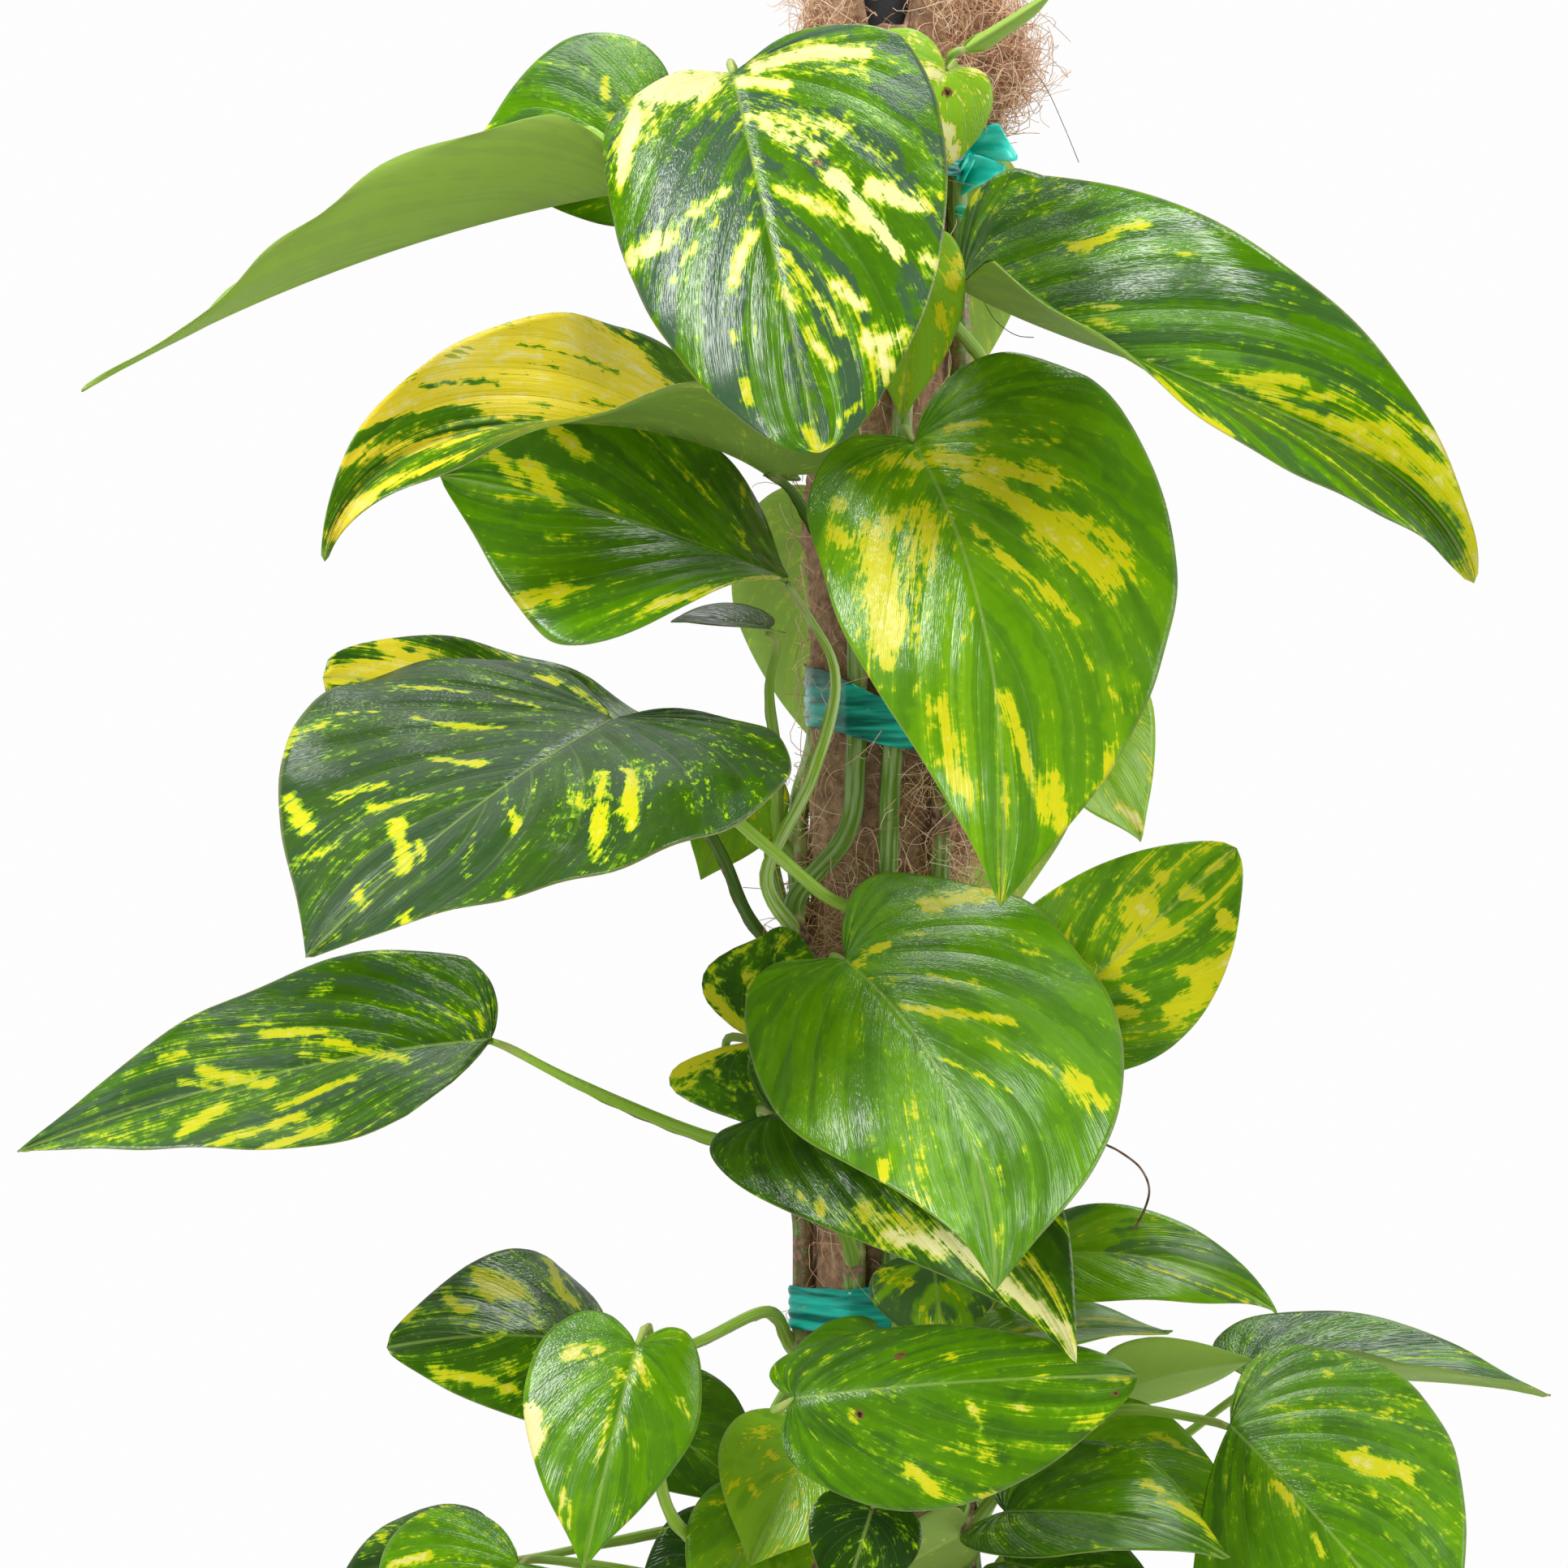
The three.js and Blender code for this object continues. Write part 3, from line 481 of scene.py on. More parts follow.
pipe_plastic = mottled("pipe_plastic", (0.04, 0.048, 0.06), (0.075, 0.085, 0.1), 90, 0.3, Roughness=0.42)
inside = PIPE_RADIUS - PIPE_WALL
seam = (inside, PIPE_BOTTOM + 0.01)
ends = [(inside, PIPE_BOTTOM), (PIPE_RADIUS, PIPE_BOTTOM), (PIPE_RADIUS, PIPE_TOP), (inside, PIPE_TOP)]
pipe = turned("pipe_core", rounded([seam, *ends, seam], SAWN_EDGE), PIPE_SIDES, pipe_plastic)
with opened(pipe.data) as shape:
    bmesh.ops.remove_doubles(shape, verts=shape.verts, dist=1e-6)
    bmesh.ops.recalc_face_normals(shape, faces=shape.faces)
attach(pipe, "root")
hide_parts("pipe")

# Coir. Coconut fibre is matted into a lumpy sleeve round the pipe. At the top it is torn open in front
# and hangs over on the right, and loose curled strands stand out all over it.
COIR_RADIUS = 0.032
COIR_BORE = 0.0143
COIR_TOP = 1.052
COIR_BOTTOM = 0.095
COIR_SIDES = 88
COIR_LEVELS = 230
SLIT_LEFT = -0.010
SLIT_RIGHT = 0.0145
SLIT_FOOT = 1.0255
CROWN_FOOT = 0.99
RIPPLE = 0.0005
MATTING = 0.0006
TORN_RIGHT = (0.612, 0.702)
TORN_LEFT = (0.578, 0.640)
LUMP_WIDTH = 22
LUMP_HEIGHT = 0.021
LUMPS = [
    (92, 0.655, 0.013),
    (112, 0.905, 0.006),
    (-95, 0.800, 0.005),
    (150, 0.610, 0.005),
    (-125, 0.490, 0.005),
    (130, 0.330, 0.004),
]
TUFT_MIDDLE = Vector((0.038, 0.020, 1.017))
TUFT_SIZE = Vector((0.029, 0.023, 0.037))


def round_pole(angle, height, reach):
    """A place from its angle, counted from the front towards the right, its height and its reach."""
    return Vector((reach * math.sin(math.radians(angle)), -reach * math.cos(math.radians(angle)), height))


def coir_radius(angle, height):
    turn = np.radians(angle)
    ripple = RIPPLE * (np.sin(3 * turn + height / 0.017) + np.sin(height / 0.009 + 2 * turn))
    out = COIR_RADIUS + 0.0004 + ripple
    for at, level, stands in LUMPS:
        away = (angle - at + 180) % 360 - 180
        out = out + stands * np.exp(-((away / LUMP_WIDTH) ** 2) - ((height - level) / LUMP_HEIGHT) ** 2)
    return out


def coir_edge(x, y):
    """Height of the torn upper edge, which drops into the slit in front."""
    beside = np.maximum(SLIT_LEFT - x, x - SLIT_RIGHT)
    return COIR_TOP - (COIR_TOP - SLIT_FOOT) * np.clip(-beside / 0.003, 0, 1) * (y < 0)


coir_mat = mottled("coir_mat", (0.20, 0.10, 0.05), (0.70, 0.43, 0.27), 230, 1.0, Roughness=0.95)
angles = np.arange(COIR_SIDES) * 360 / COIR_SIDES
turns = np.radians(angles)
matting = waves(11, (0.004, 0.014), 40)


def ring_places(reach, levels):
    return np.stack([reach * np.sin(turns), -reach * np.cos(turns), levels], axis=1)


rings = []
for way in np.linspace(0, 1, COIR_LEVELS + 1):
    x, y = COIR_RADIUS * np.sin(turns), -COIR_RADIUS * np.cos(turns)
    levels = COIR_BOTTOM + way * (coir_edge(x, y) - COIR_BOTTOM)
    reach = coir_radius(angles, levels)
    reach = reach + MATTING * matting(ring_places(reach, levels))
    rings.append((reach, levels))
for inward in (0.9, 0.72, 0.5, 0.25, 0):
    across = COIR_BORE + (rings[COIR_LEVELS][0] - COIR_BORE) * inward
    x, y = across * np.sin(turns), -across * np.cos(turns)
    crumpled = 2 * MATTING * matting(np.stack([x, y, 0 * x], axis=1)) * (inward > 0)
    rings.append((across, coir_edge(x, y) - crumpled))
inner_edge = rings[-1][1]
for way in (0.75, 0.5, 0.25, 0):
    rings.append((np.full(COIR_SIDES, COIR_BORE), COIR_BOTTOM + way * (inner_edge - COIR_BOTTOM)))
points = np.concatenate([ring_places(reach, levels) for reach, levels in rings])
faces = []
for i in range(len(rings)):
    above = (i + 1) % len(rings)
    for j in range(COIR_SIDES):
        k = (j + 1) % COIR_SIDES
        faces.append([i * COIR_SIDES + j, i * COIR_SIDES + k, above * COIR_SIDES + k, above * COIR_SIDES + j])
coir = new_piece("coir_sleeve", points, faces, [coir_mat])

bpy.ops.mesh.primitive_ico_sphere_add(subdivisions=5, radius=1)
tuft = bpy.context.object
tuft.name = tuft.data.name = "coir_tuft"
tuft.data.materials.append(coir_mat)
places = np.array([v.co for v in tuft.data.vertices])
bulges = 0.93 + 0.06 * waves(12, (0.6, 1.6), 20)(places) + 0.03 * waves(13, (0.1, 0.3), 30)(places)
places = places * bulges[:, None] * np.array(TUFT_SIZE) + np.array(TUFT_MIDDLE)
tuft.data.vertices.foreach_set("co", places.ravel())
tuft.data.polygons.foreach_set("use_smooth", [True] * len(tuft.data.polygons))

strand_tree, entry, roots = new_tree(
    "coir_strands",
    {"Density": "Float", "Length": "Float", "Thickness": "Float", "Curl": "Float", "Waves": "Float",
     "Spread": "Float", "Rise": "Float", "Seed": "Int", "Material": "Material"},
)


def by_chance(least, most, seed):
    """A number drawn for each strand."""
    limits = {2: least, 3: most, "Seed": seed}
    return put(strand_tree, "FunctionNodeRandomValue", limits, data_type="FLOAT").outputs[1]


line = put(strand_tree, "GeometryNodeCurvePrimitiveLine", {"Start": (0, -0.5, 0), "End": (0, 0.5, 0)})
fine_line = put(strand_tree, "GeometryNodeResampleCurve", {"Curve": line, "Count": 16})
swing = by_chance(combined(strand_tree, "MULTIPLY", entry["Spread"], -1.0), entry["Spread"], 2)
turn = put(strand_tree, "ShaderNodeCombineXYZ", {0: by_chance(0.0, entry["Rise"], 3), 2: swing})
length = by_chance(combined(strand_tree, "MULTIPLY", entry["Length"], 0.45), entry["Length"], 4)
planted = put(
    strand_tree,
    "GeometryNodeInstanceOnPoints",
    {"Points": roots["Points"], "Instance": fine_line, "Rotation": roots["Rotation"], "Scale": length},
)
swung = put(strand_tree, "GeometryNodeRotateInstances", {"Instances": planted, "Rotation": turn})
marked = put(
    strand_tree,
    "GeometryNodeStoreNamedAttribute",
    {"Geometry": swung, "Name": "strand_shade"},
    data_type="FLOAT",
    domain="INSTANCE",
)
shade_in = next(s for s in marked.inputs if s.name == "Value" and s.enabled)
strand_tree.links.new(by_chance(0.0, 1.0, 5), shade_in)
loose = put(strand_tree, "GeometryNodeRealizeInstances", {0: marked})
where = put(strand_tree, "GeometryNodeInputPosition")
own = put(strand_tree, "GeometryNodeInputNamedAttribute", {"Name": "strand_shade"}, data_type="FLOAT")
apart = combined(strand_tree, "MULTIPLY", own, 9.0)
curl = put(
    strand_tree,
    "ShaderNodeTexNoise",
    {"Vector": where, "W": apart, "Scale": entry["Waves"], "Detail": 0.0},
    noise_dimensions="4D",
)
centred = put(
    strand_tree, "ShaderNodeVectorMath", {0: curl.outputs["Color"], 1: (0.5, 0.5, 0.5)}, operation="SUBTRACT"
)
bend = put(strand_tree, "ShaderNodeVectorMath", {0: centred, "Scale": entry["Curl"]}, operation="SCALE")
curled = put(strand_tree, "GeometryNodeSetPosition", {"Geometry": loose, "Offset": bend})
thick = {"Resolution": 3, "Radius": entry["Thickness"]}
section = put(strand_tree, "GeometryNodeCurvePrimitiveCircle", thick)
swept = {"Curve": curled, "Profile Curve": section, "Fill Caps": True}
strands = put(strand_tree, "GeometryNodeCurveToMesh", swept)
end_tree(strand_tree, strands, entry["Material"])


def attribute(tree, name):
    return put(tree, "ShaderNodeAttribute", attribute_name=name).outputs["Fac"]


def graded(tree, value, stops):
    """Colours from (place, colour) stops, of which the first lies at 0 and the last at 1."""
    made = put(tree, "ShaderNodeValToRGB", {"Fac": value})
    made.color_ramp.elements[0].color = (*stops[0][1], 1)
    made.color_ramp.elements[1].color = (*stops[-1][1], 1)
    for at, colour in stops[1:-1]:
        made.color_ramp.elements.new(at).color = (*colour, 1)
    return made.outputs[0]


# The strands' browns run lighter than the fibre's own: in part painted light, making up for the shade that
# the dense strands cast on one another.
coir_strand, tree, shader = new_material("coir_strand", Roughness=0.6, Specular_IOR_Level=0.3)
browns = [(0, (0.46, 0.21, 0.10)), (0.45, (0.96, 0.60, 0.37)), (1, (1.0, 0.86, 0.63))]
tree.links.new(graded(tree, attribute(tree, "strand_shade"), browns), shader.inputs["Base Color"])


def outer(face):
    return face.normal.to_2d().dot(face.calc_center_median().to_2d()) > 0 or face.normal.z > 0.3


def crown(face):
    at = face.calc_center_median()
    beside = at.y > 0 or at.z < SLIT_FOOT - 0.022 or not SLIT_LEFT - 0.004 < at.x < SLIT_RIGHT + 0.009
    return outer(face) and at.z > CROWN_FOOT and beside


def shaft(face):
    return outer(face) and face.calc_center_median().z <= CROWN_FOOT


def torn_right(face):
    at = face.calc_center_median()
    return outer(face) and TORN_RIGHT[0] < at.z < TORN_RIGHT[1] and at.x > 0.004 and at.y < 0.022


def torn_left(face):
    at = face.calc_center_median()
    return outer(face) and TORN_LEFT[0] < at.z < TORN_LEFT[1] and at.x < 0 and at.y < 0


STRAND_KINDS = [
    # name, ground, part of it, density, length, thickness, curl, waves, spread, rise, seed
    ("coir_strands", coir, shaft, 5000, 0.046, 0.00020, 0.040, 52, 1.2, 0.14, 21),
    ("coir_wild_strands", coir, shaft, 1200, 0.060, 0.00016, 0.070, 42, 1.6, 0.35, 22),
    ("torn_strands_right", coir, torn_right, 46000, 0.056, 0.00020, 0.066, 52, 3.1, 0.55, 31),
    ("torn_strands_left", coir, torn_left, 52000, 0.056, 0.00019, 0.066, 52, 3.1, 0.75, 32),
    ("crown_strands", coir, crown, 60000, 0.044, 0.00020, 0.044, 52, 3.1, 0.22, 25),
    ("crown_wild_strands", coir, crown, 6000, 0.062, 0.00016, 0.066, 42, 3.1, 0.45, 26),
    ("tuft_strands", tuft, outer, 92000, 0.048, 0.00020, 0.042, 52, 1.5, 0.22, 23),
    ("tuft_wild_strands", tuft, outer, 10000, 0.060, 0.00016, 0.060, 42, 3.1, 0.5, 24),
]
for piece in (coir, tuft):
    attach(piece, "root")
    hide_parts("coir")
for name, source, part, density, length, thickness, curl, wave, spread, rise, seed in STRAND_KINDS:
    strands = grown(
        name,
        kept_faces(name, source, part),
        strand_tree,
        {"Density": density, "Length": length, "Thickness": thickness, "Curl": curl, "Waves": wave,
         "Spread": spread, "Rise": rise, "Seed": seed, "Material": coir_strand},
    )
    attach(strands, "root")
    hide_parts("coir")

# Plan of the plant. Five stems climb the pole, and each leaf grows from a node on one of them. Places are
# across and height where the line of sight meets the pole's plane, and depth towards the back.
STEM_RADIUS = 0.005
ON_POLE = 38.6
STEMS = {
    # angle round the pole, height in mm, distance from the axis in mm
    "front": [(-30, 150, 70), (-30, 200, 64), (-24, 300, 48), (-20, 400, ON_POLE), (-20, 520, ON_POLE),
              (-20, 566, ON_POLE), (-40, 600, 56), (-44, 622, 58), (-22, 655, 43), (-18, 690, ON_POLE),
              (-18, 800, ON_POLE)],
    "centre": [(20, 150, 64), (18, 200, 60), (12, 300, 46), (8, 400, ON_POLE), (6, 540, ON_POLE),
               (4, 640, ON_POLE), (10, 740, ON_POLE), (14, 850, ON_POLE), (18, 990, ON_POLE), (26, 1006, 40)],
    "right": [(75, 150, 62), (75, 200, 58), (70, 300, 46), (64, 400, ON_POLE), (50, 540, ON_POLE),
              (44, 640, ON_POLE), (60, 740, ON_POLE), (75, 850, ON_POLE), (64, 984, ON_POLE), (60, 1004, 41)],
    "left": [(-85, 150, 64), (-85, 200, 60), (-80, 300, 48), (-76, 400, ON_POLE), (-72, 540, ON_POLE),
             (-80, 640, ON_POLE), (-105, 670, ON_POLE), (-130, 700, ON_POLE), (-130, 850, ON_POLE),
             (-105, 880, ON_POLE), (-80, 910, ON_POLE), (-60, 950, ON_POLE)],
    "back": [(180, 150, 60), (180, 200, 56), (178, 300, 46), (176, 400, ON_POLE), (182, 540, ON_POLE),
             (178, 640, ON_POLE), (182, 740, ON_POLE), (180, 850, ON_POLE), (180, 910, ON_POLE)],
}
LEAVES = {
    # name: stem, node height, heart, tip, direction that the upper side faces, half widths, rise of each
    # half at the midrib and at the edge, and what its form has otherwise than FORM
    "01": ("centre", 880, (-69, 1010, -110), (-28, 832, -175), (-0.1, -1, 0.25), (84, 70), (5, -15),
           (-5, -35), {"full": 0.55, "lobes": (0.6, 0.5), "via": ((-30, 930, -75),)}),
    "02": ("left", 900, (-122, 956, -60), (-374, 861, -110), (0, 0, 1), (56, 56), (30, 60), (35, 55),
           {"lift": 10, "droop": 10, "flatten": 0.65, "full": 1.3, "lobes": (0.3, 0.3), "rake": (0.12, 0)}),
    "03": ("left", 935, (-104, 980, -8), (-194, 972, -25), (0, -1, 0.3), (45, 58), (0, 0), (0, -10), {}),
    "04": ("right", 850, (38, 911, -75), (278, 771, -130), (0.2, -0.7, 0.7), (72, 72), (20, 30), (62, 58),
           {"lift": 0, "droop": 50, "twist": 75, "lobes": (0.4, 0), "rake": (-0.05, 0.12)}),
    "05": ("centre", 985, (31, 1011, -60), (-12, 946, -63), (0.1, -1, 0.2), (29, 40), (0, -20), (0, -20), {}),
    "06": ("right", 990, (40, 1021, -36), (82, 1048, -55), (0, 1, 0), (12, 12), (50, 100), (50, 100),
           {"lobes": (0, 0), "rake": (0.22, 0.22)}),
    "07": ("centre", 860, (17, 928, -92), (10, 847, -100), (0.2, -1, 0.1), (24, 28), (0, -10), (0, -10), {}),
    "08": ("front", 765, (-53, 824, -62), (-260, 781, -140), (0, -0.2, 1), (60, 56), (45, 50), (20, 30),
           {"lift": 42, "droop": 74, "twist": -90, "full": 1.25, "via": ((-22, 784, -50),)}),
    "09": ("front", 606, (-43, 773, -62), (-206, 821, -90), (0, -0.35, 0.93), (78, 62), (15, 5), (0, 10),
           {"twist": -80, "full": 0.8, "rake": (0.42, 0.1), "lobes": (0.5, 0.2),
            "via": ((-53, 632, -54), (-31, 682, -58), (-21, 729, -62))}),
    "10": ("centre", 740, (16, 837, -110), (56, 619, -165), (0.25, -1, 0.2), (97, 64), (10, -5), (-25, -45),
           {"lift": 15, "sway": 17, "lobes": (1, 0.7)}),
    "11": ("centre", 610, (-126, 708, -90), (-269, 596, -235), (-0.2, -0.5, 0.85), (109, 120), (0, -10),
           (5, 10), {"via": ((-21, 622, -60), (-47, 643, -70), (-65, 658, -76))}),
    "12": ("left", 585, (-112, 703, -12), (-261, 727, -25), (0, -0.2, 1), (30, 30), (0, 0), (0, 10),
           {"twist": -75, "full": 0.35, "via": ((-62, 616, -22), (-74, 644, -22))}),
    "13": ("left", 640, (-53, 750, -45), (-98, 753, -55), (0, -0.3, 0.95), (25, 25), (10, 10), (10, 10),
           {"via": ((-48, 687, -28), (-52, 723, -36))}),
    "14": ("left", 495, (-182, 558, -70), (-404, 505, -120), (0, -0.64, 0.77), (60, 55), (10, 10), (10, 10),
           {"lift": 12, "droop": 10, "lobes": (0, 0.3), "rake": (0.27, 0),
            "via": ((-81, 512, -35), (-146, 539, -60))}),
    "15": ("front", 562, (-16, 595, -105), (54, 440, -215), (0.2, -0.8, 0.6), (100, 68), (0, -10), (-15, -50),
           {"sway": 22, "lobes": (1.5, 1), "full": 1.1}),
    "16": ("front", 455, (-50, 523, -95), (92, 406, -180), (0, -0.9, 0.4), (57, 42), (0, -10), (0, -10),
           {"sway": 26}),
    "17": ("left", 480, (-58, 557, -62), (-14, 554, -54), (0, -1, 0.1), (52, 42), (0, 0), (0, 0),
           {"lobes": (4.8, 7)}),
    "18": ("centre", 415, (25, 452, -70), (30, 410, -85), (0, -1, 0.2), (30, 30), (0, -10), (0, -10), {}),
    "19": ("right", 500, (72, 562, -42), (167, 647, -50), (0.1, -1, 0.1), (45, 47), (0, 10), (0, 10),
           {"full": 0.6, "rake": (0, 0.2)}),
    "20": ("right", 660, (78, 721, -50), (122, 650, -60), (0.5, -0.8, 0.3), (45, 40), (4, 12), (5, 14), {}),
    "21": ("right", 400, (78, 457, -60), (186, 429, -90), (0, -0.5, 0.85), (28, 36), (10, 20), (0, 0),
           {"lift": 25, "droop": 35}),
    "22": ("right", 380, (44, 417, -75), (137, 421, -85), (0, -0.2, 1), (35, 35), (5, 5), (5, 5), {}),
    "23": ("front", 405, (-40, 390, -125), (121, 400, -150), (0, -0.8, 0.55), (37, 54), (-15, -25),
           (-15, -20), {"rake": (0.1, 0.2), "full": 0.6}),
    "24": ("left", 290, (-114, 414, -105), (-139, 309, -135), (-0.2, -1, 0.2), (34, 46), (0, -40), (0, -10),
           {"via": ((-100, 340, -80),)}),
    "25": ("left", 410, (-131, 413, -55), (-231, 413, -75), (0, -0.8, 0.6), (40, 62), (-20, -20), (-20, -20),
           {"lift": 35, "droop": 25, "full": 0.7, "via": ((-52, 430, -30), (-90, 414, -45))}),
    "26": ("left", 310, (-112, 383, -32), (-55, 339, -46), (0.3, -0.6, 0.7), (45, 35), (0, 0), (0, 0), {}),
    "27": ("front", 300, (-32, 370, -68), (-61, 311, -90), (-0.2, -0.8, 0.5), (38, 38), (0, 0), (0, 0), {}),
    "28": ("left", 270, (-169, 312, -60), (-230, 244, -110), (0, -0.8, 0.6), (55, 55), (0, -10), (0, -10),
           {}),
    "29": ("back", 280, (-184, 314, -10), (-268, 268, -40), (0, -0.7, 0.7), (45, 45), (0, -10), (0, -10), {}),
    "30": ("front", 270, (-53, 337, -70), (-85, 280, -90), (-0.2, -1, 0.3), (30, 30), (0, -10), (0, -10), {}),
    "31": ("back", 265, (-70, 316, 10), (-116, 288, 12), (0, -1, 0.3), (30, 30), (0, -10), (0, -10), {}),
    "32": ("centre", 290, (-4, 337, -112), (-19, 288, -126), (0, -1, 0.3), (25, 25), (4, 12), (5, 14), {}),
    "33": ("centre", 280, (59, 337, -80), (164, 315, -115), (0, -0.45, 0.9), (45, 45), (10, 10), (10, 10),
           {"lift": 15, "droop": 30}),
    "34": ("right", 300, (93, 364, -45), (176, 320, -65), (0.1, -0.7, 0.7), (38, 30), (5, 5), (5, 5), {}),
    "35": ("right", 330, (164, 377, -85), (268, 254, -150), (0.3, -0.75, 0.6), (92, 65), (5, -10), (-40, -60),
           {"lobes": (1.2, 0.2), "rake": (0, 0.25), "via": ((107, 383, -62),)}),
    "36": ("right", 345, (174, 398, 16), (314, 391, 0), (0, -0.1, 1), (40, 40), (30, 40), (25, 30),
           {"lobes": (1, 0.2), "via": ((120, 360, 4),)}),
    "37": ("right", 362, (114, 396, -32), (175, 407, -46), (0, 0.7, 0.7), (28, 26), (10, 10), (10, 10),
           {"over": True}),
    "38": ("centre", 370, (-4, 419, -80), (-46, 406, -95), (0, -0.5, 0.8), (13, 13), (10, 10), (10, 10), {}),
    "39": ("left", 610, (-62, 680, -2), (-84, 632, -6), (0, -1, 0.2), (24, 24), (0, 0), (0, 0),
           {"via": ((-50, 640, 9),)}),
    "40": ("right", 260, (59, 313, -50), (139, 288, -85), (0, -0.6, 0.8), (35, 35), (5, 5), (5, 5), {}),
    "41": ("centre", 335, (36, 326, -92), (-13, 294, -98), (-0.3, 0.7, 0.6), (20, 33), (5, 5), (5, 5),
           {"over": True}),
    "42": ("back", 880, (20, 960, 75), (10, 820, 120), (0, 1, 0.3), (55, 55), (10, 0), (10, 0), {}),
    "43": ("back", 730, (-10, 800, 80), (-20, 680, 130), (-0.2, 1, 0.3), (60, 60), (10, 0), (10, 0), {}),
    "44": ("back", 620, (50, 720, 80), (50, 600, 130), (0.2, 1, 0.3), (50, 50), (10, 0), (10, 0), {}),
    "45": ("back", 460, (0, 560, 75), (10, 440, 120), (-0.2, 1, 0.3), (55, 55), (10, 0), (10, 0), {}),
    "46": ("back", 400, (30, 440, 85), (50, 330, 130), (0.1, 1, 0.3), (55, 55), (10, 0), (10, 0), {}),
    "47": ("front", 240, (-15, 275, -125), (-20, 180, -160), (0, -1, 0.4), (50, 50), (0, -10), (0, -10),
           {"lift": 25, "droop": 25}),
}
FORM = {
    "lift": 8, "droop": 8, "sway": 0, "twist": 0, "flatten": 0, "full": 1, "lobes": (1, 1), "rake": (0, 0),
    "via": (), "over": False,
}


def seen(across, height, depth):
    """The place, in metres, of a point given in the plan."""
    nearer = 1 - depth / 1000 / EYE.y
    return Vector((
        EYE.x + (across / 1000 - EYE.x) * nearer,
        depth / 1000,
        EYE.z + (height / 1000 - EYE.z) * nearer,
    ))


def leaf_frame(heart, tip, face, form):
    """Length, upward direction, direction to the tip, and the midrib's four Bezier points."""
    along = tip - heart
    length = along.length
    along.normalize()
    up = (Vector(face) - along * along.dot(Vector(face))).normalized()
    left = up.cross(along)
    bows = []
    for end, degrees, reach in ((heart, form["lift"], length / 3), (tip, -form["droop"], -length / 3)):
        turn = math.radians(degrees)
        bows.append(end + (along * math.cos(turn) + up * math.sin(turn)) * reach + left * form["sway"] / 1000)
    return length, up, along, [heart, bows[0], bows[1], tip]


# Stems. They are green, ribbed along and nearly 10 mm thick, with a pale ring at each node and corky bark
# where they are old. Each petiole is grooved, has a thin wing on either side of its groove, and slims
# towards its blade.
PETIOLE_RADIUS = 0.0028
PETIOLE_TIP = 0.0016
BLADE = 0.0008
SEAT = BLADE / 2 + GAP + 0.75 * PETIOLE_TIP
LONGEST_BEND = 0.015
STALKS = {
    # leaf: how light its petiole is, how strongly striped, and how dry its wings are
    "01": (0.7, 0.3, 0.1),
    "04": (0.7, 0.5, 0.2),
    "08": (0.12, 0.2, 0.3),
    "09": (0.8, 1.5, 0.0),
    "10": (0.8, 0.4, 0.1),
    "11": (0.95, 0.35, 0.0),
    "12": (0.12, 0.3, 0.9),
    "14": (0.8, 0.2, 0.8),
    "15": (0.75, 0.3, 0.1),
    "25": (0.85, 0.6, 0.2),
    "24": (0.85, 0.4, 0.2),
    "35": (0.6, 0.4, 0.3),
}
STALK = (0.55, 0.35, 0.3)


def through(points, way):
    """A centripetal Catmull-Rom curve through points, at a share of the way."""
    points = [2 * points[0] - points[1], *points, 2 * points[-1] - points[-2]]
    place = way * (len(points) - 3)
    i = min(int(place), len(points) - 4)
    share = place - i
    p0, p1, p2, p3 = points[i : i + 4]
    d0, d1, d2 = (math.sqrt((b - a).length) for a, b in ((p0, p1), (p1, p2), (p2, p3)))
    t1 = ((p1 - p0) / d0 - (p2 - p0) / (d0 + d1) + (p2 - p1) / d1) * d1
    t2 = ((p2 - p1) / d1 - (p3 - p1) / (d1 + d2) + (p3 - p2) / d2) * d1
    c2 = 3 * (p2 - p1) - 2 * t1 - t2
    c3 = 2 * (p1 - p2) + t1 + t2
    return p1 + t1 * share + c2 * share**2 + c3 * share**3


def bell(off, width):
    return np.exp(-((off / width) ** 2))


def evenly(points, steps):
    """Points at even distances along the curve through points, and its length."""
    dense = np.array([through(points, i / 300) for i in range(301)])
    gone = np.concatenate([[0], np.cumsum(np.linalg.norm(np.diff(dense, axis=0), axis=1))])
    wanted = np.linspace(0, gone[-1], steps + 1)
    return np.stack([np.interp(wanted, gone, dense[:, k]) for k in range(3)], axis=1), gone[-1]


def at_height(points, height):
    """The place at a height on the rising curve through points."""
    low, high = 0.0, 1.0
    for _ in range(24):
        middle = (low + high) / 2
        if through(points, middle).z < height:
            low = middle
        else:
            high = middle
    return through(points, low)


def tube(route, radii, sides):
    """The points and faces of a closed tube along a route, with a radius for each place and side."""
    steps = len(route)
    ahead = np.gradient(route, axis=0)
    ahead /= np.linalg.norm(ahead, axis=1)[:, None]
    out = np.cross(ahead[0], [0.3, 0.9, 0.2])
    out /= np.linalg.norm(out)
    points = []
    for i in range(steps):
        out = out - ahead[i] * out.dot(ahead[i])
        out /= np.linalg.norm(out)
        across = np.cross(ahead[i], out)
        turns = 2 * np.pi * np.arange(sides) / sides
        ring = route[i] + (np.outer(np.cos(turns), out) + np.outer(np.sin(turns), across)) * radii[i][:, None]
        points.append(ring)
    points = np.concatenate([*points, route[:1], route[-1:]])
    faces = []
    for i in range(steps - 1):
        for j in range(sides):
            k = (j + 1) % sides
            faces.append([i * sides + j, i * sides + k, (i + 1) * sides + k, (i + 1) * sides + j])
    last = (steps - 1) * sides
    for j in range(sides):
        k = (j + 1) % sides
        faces += [[k, j, len(points) - 2], [last + j, last + k, len(points) - 1]]
    return points, faces


GROWTH_MARKS = ("around", "along", "green", "stripe", "cork", "ring")


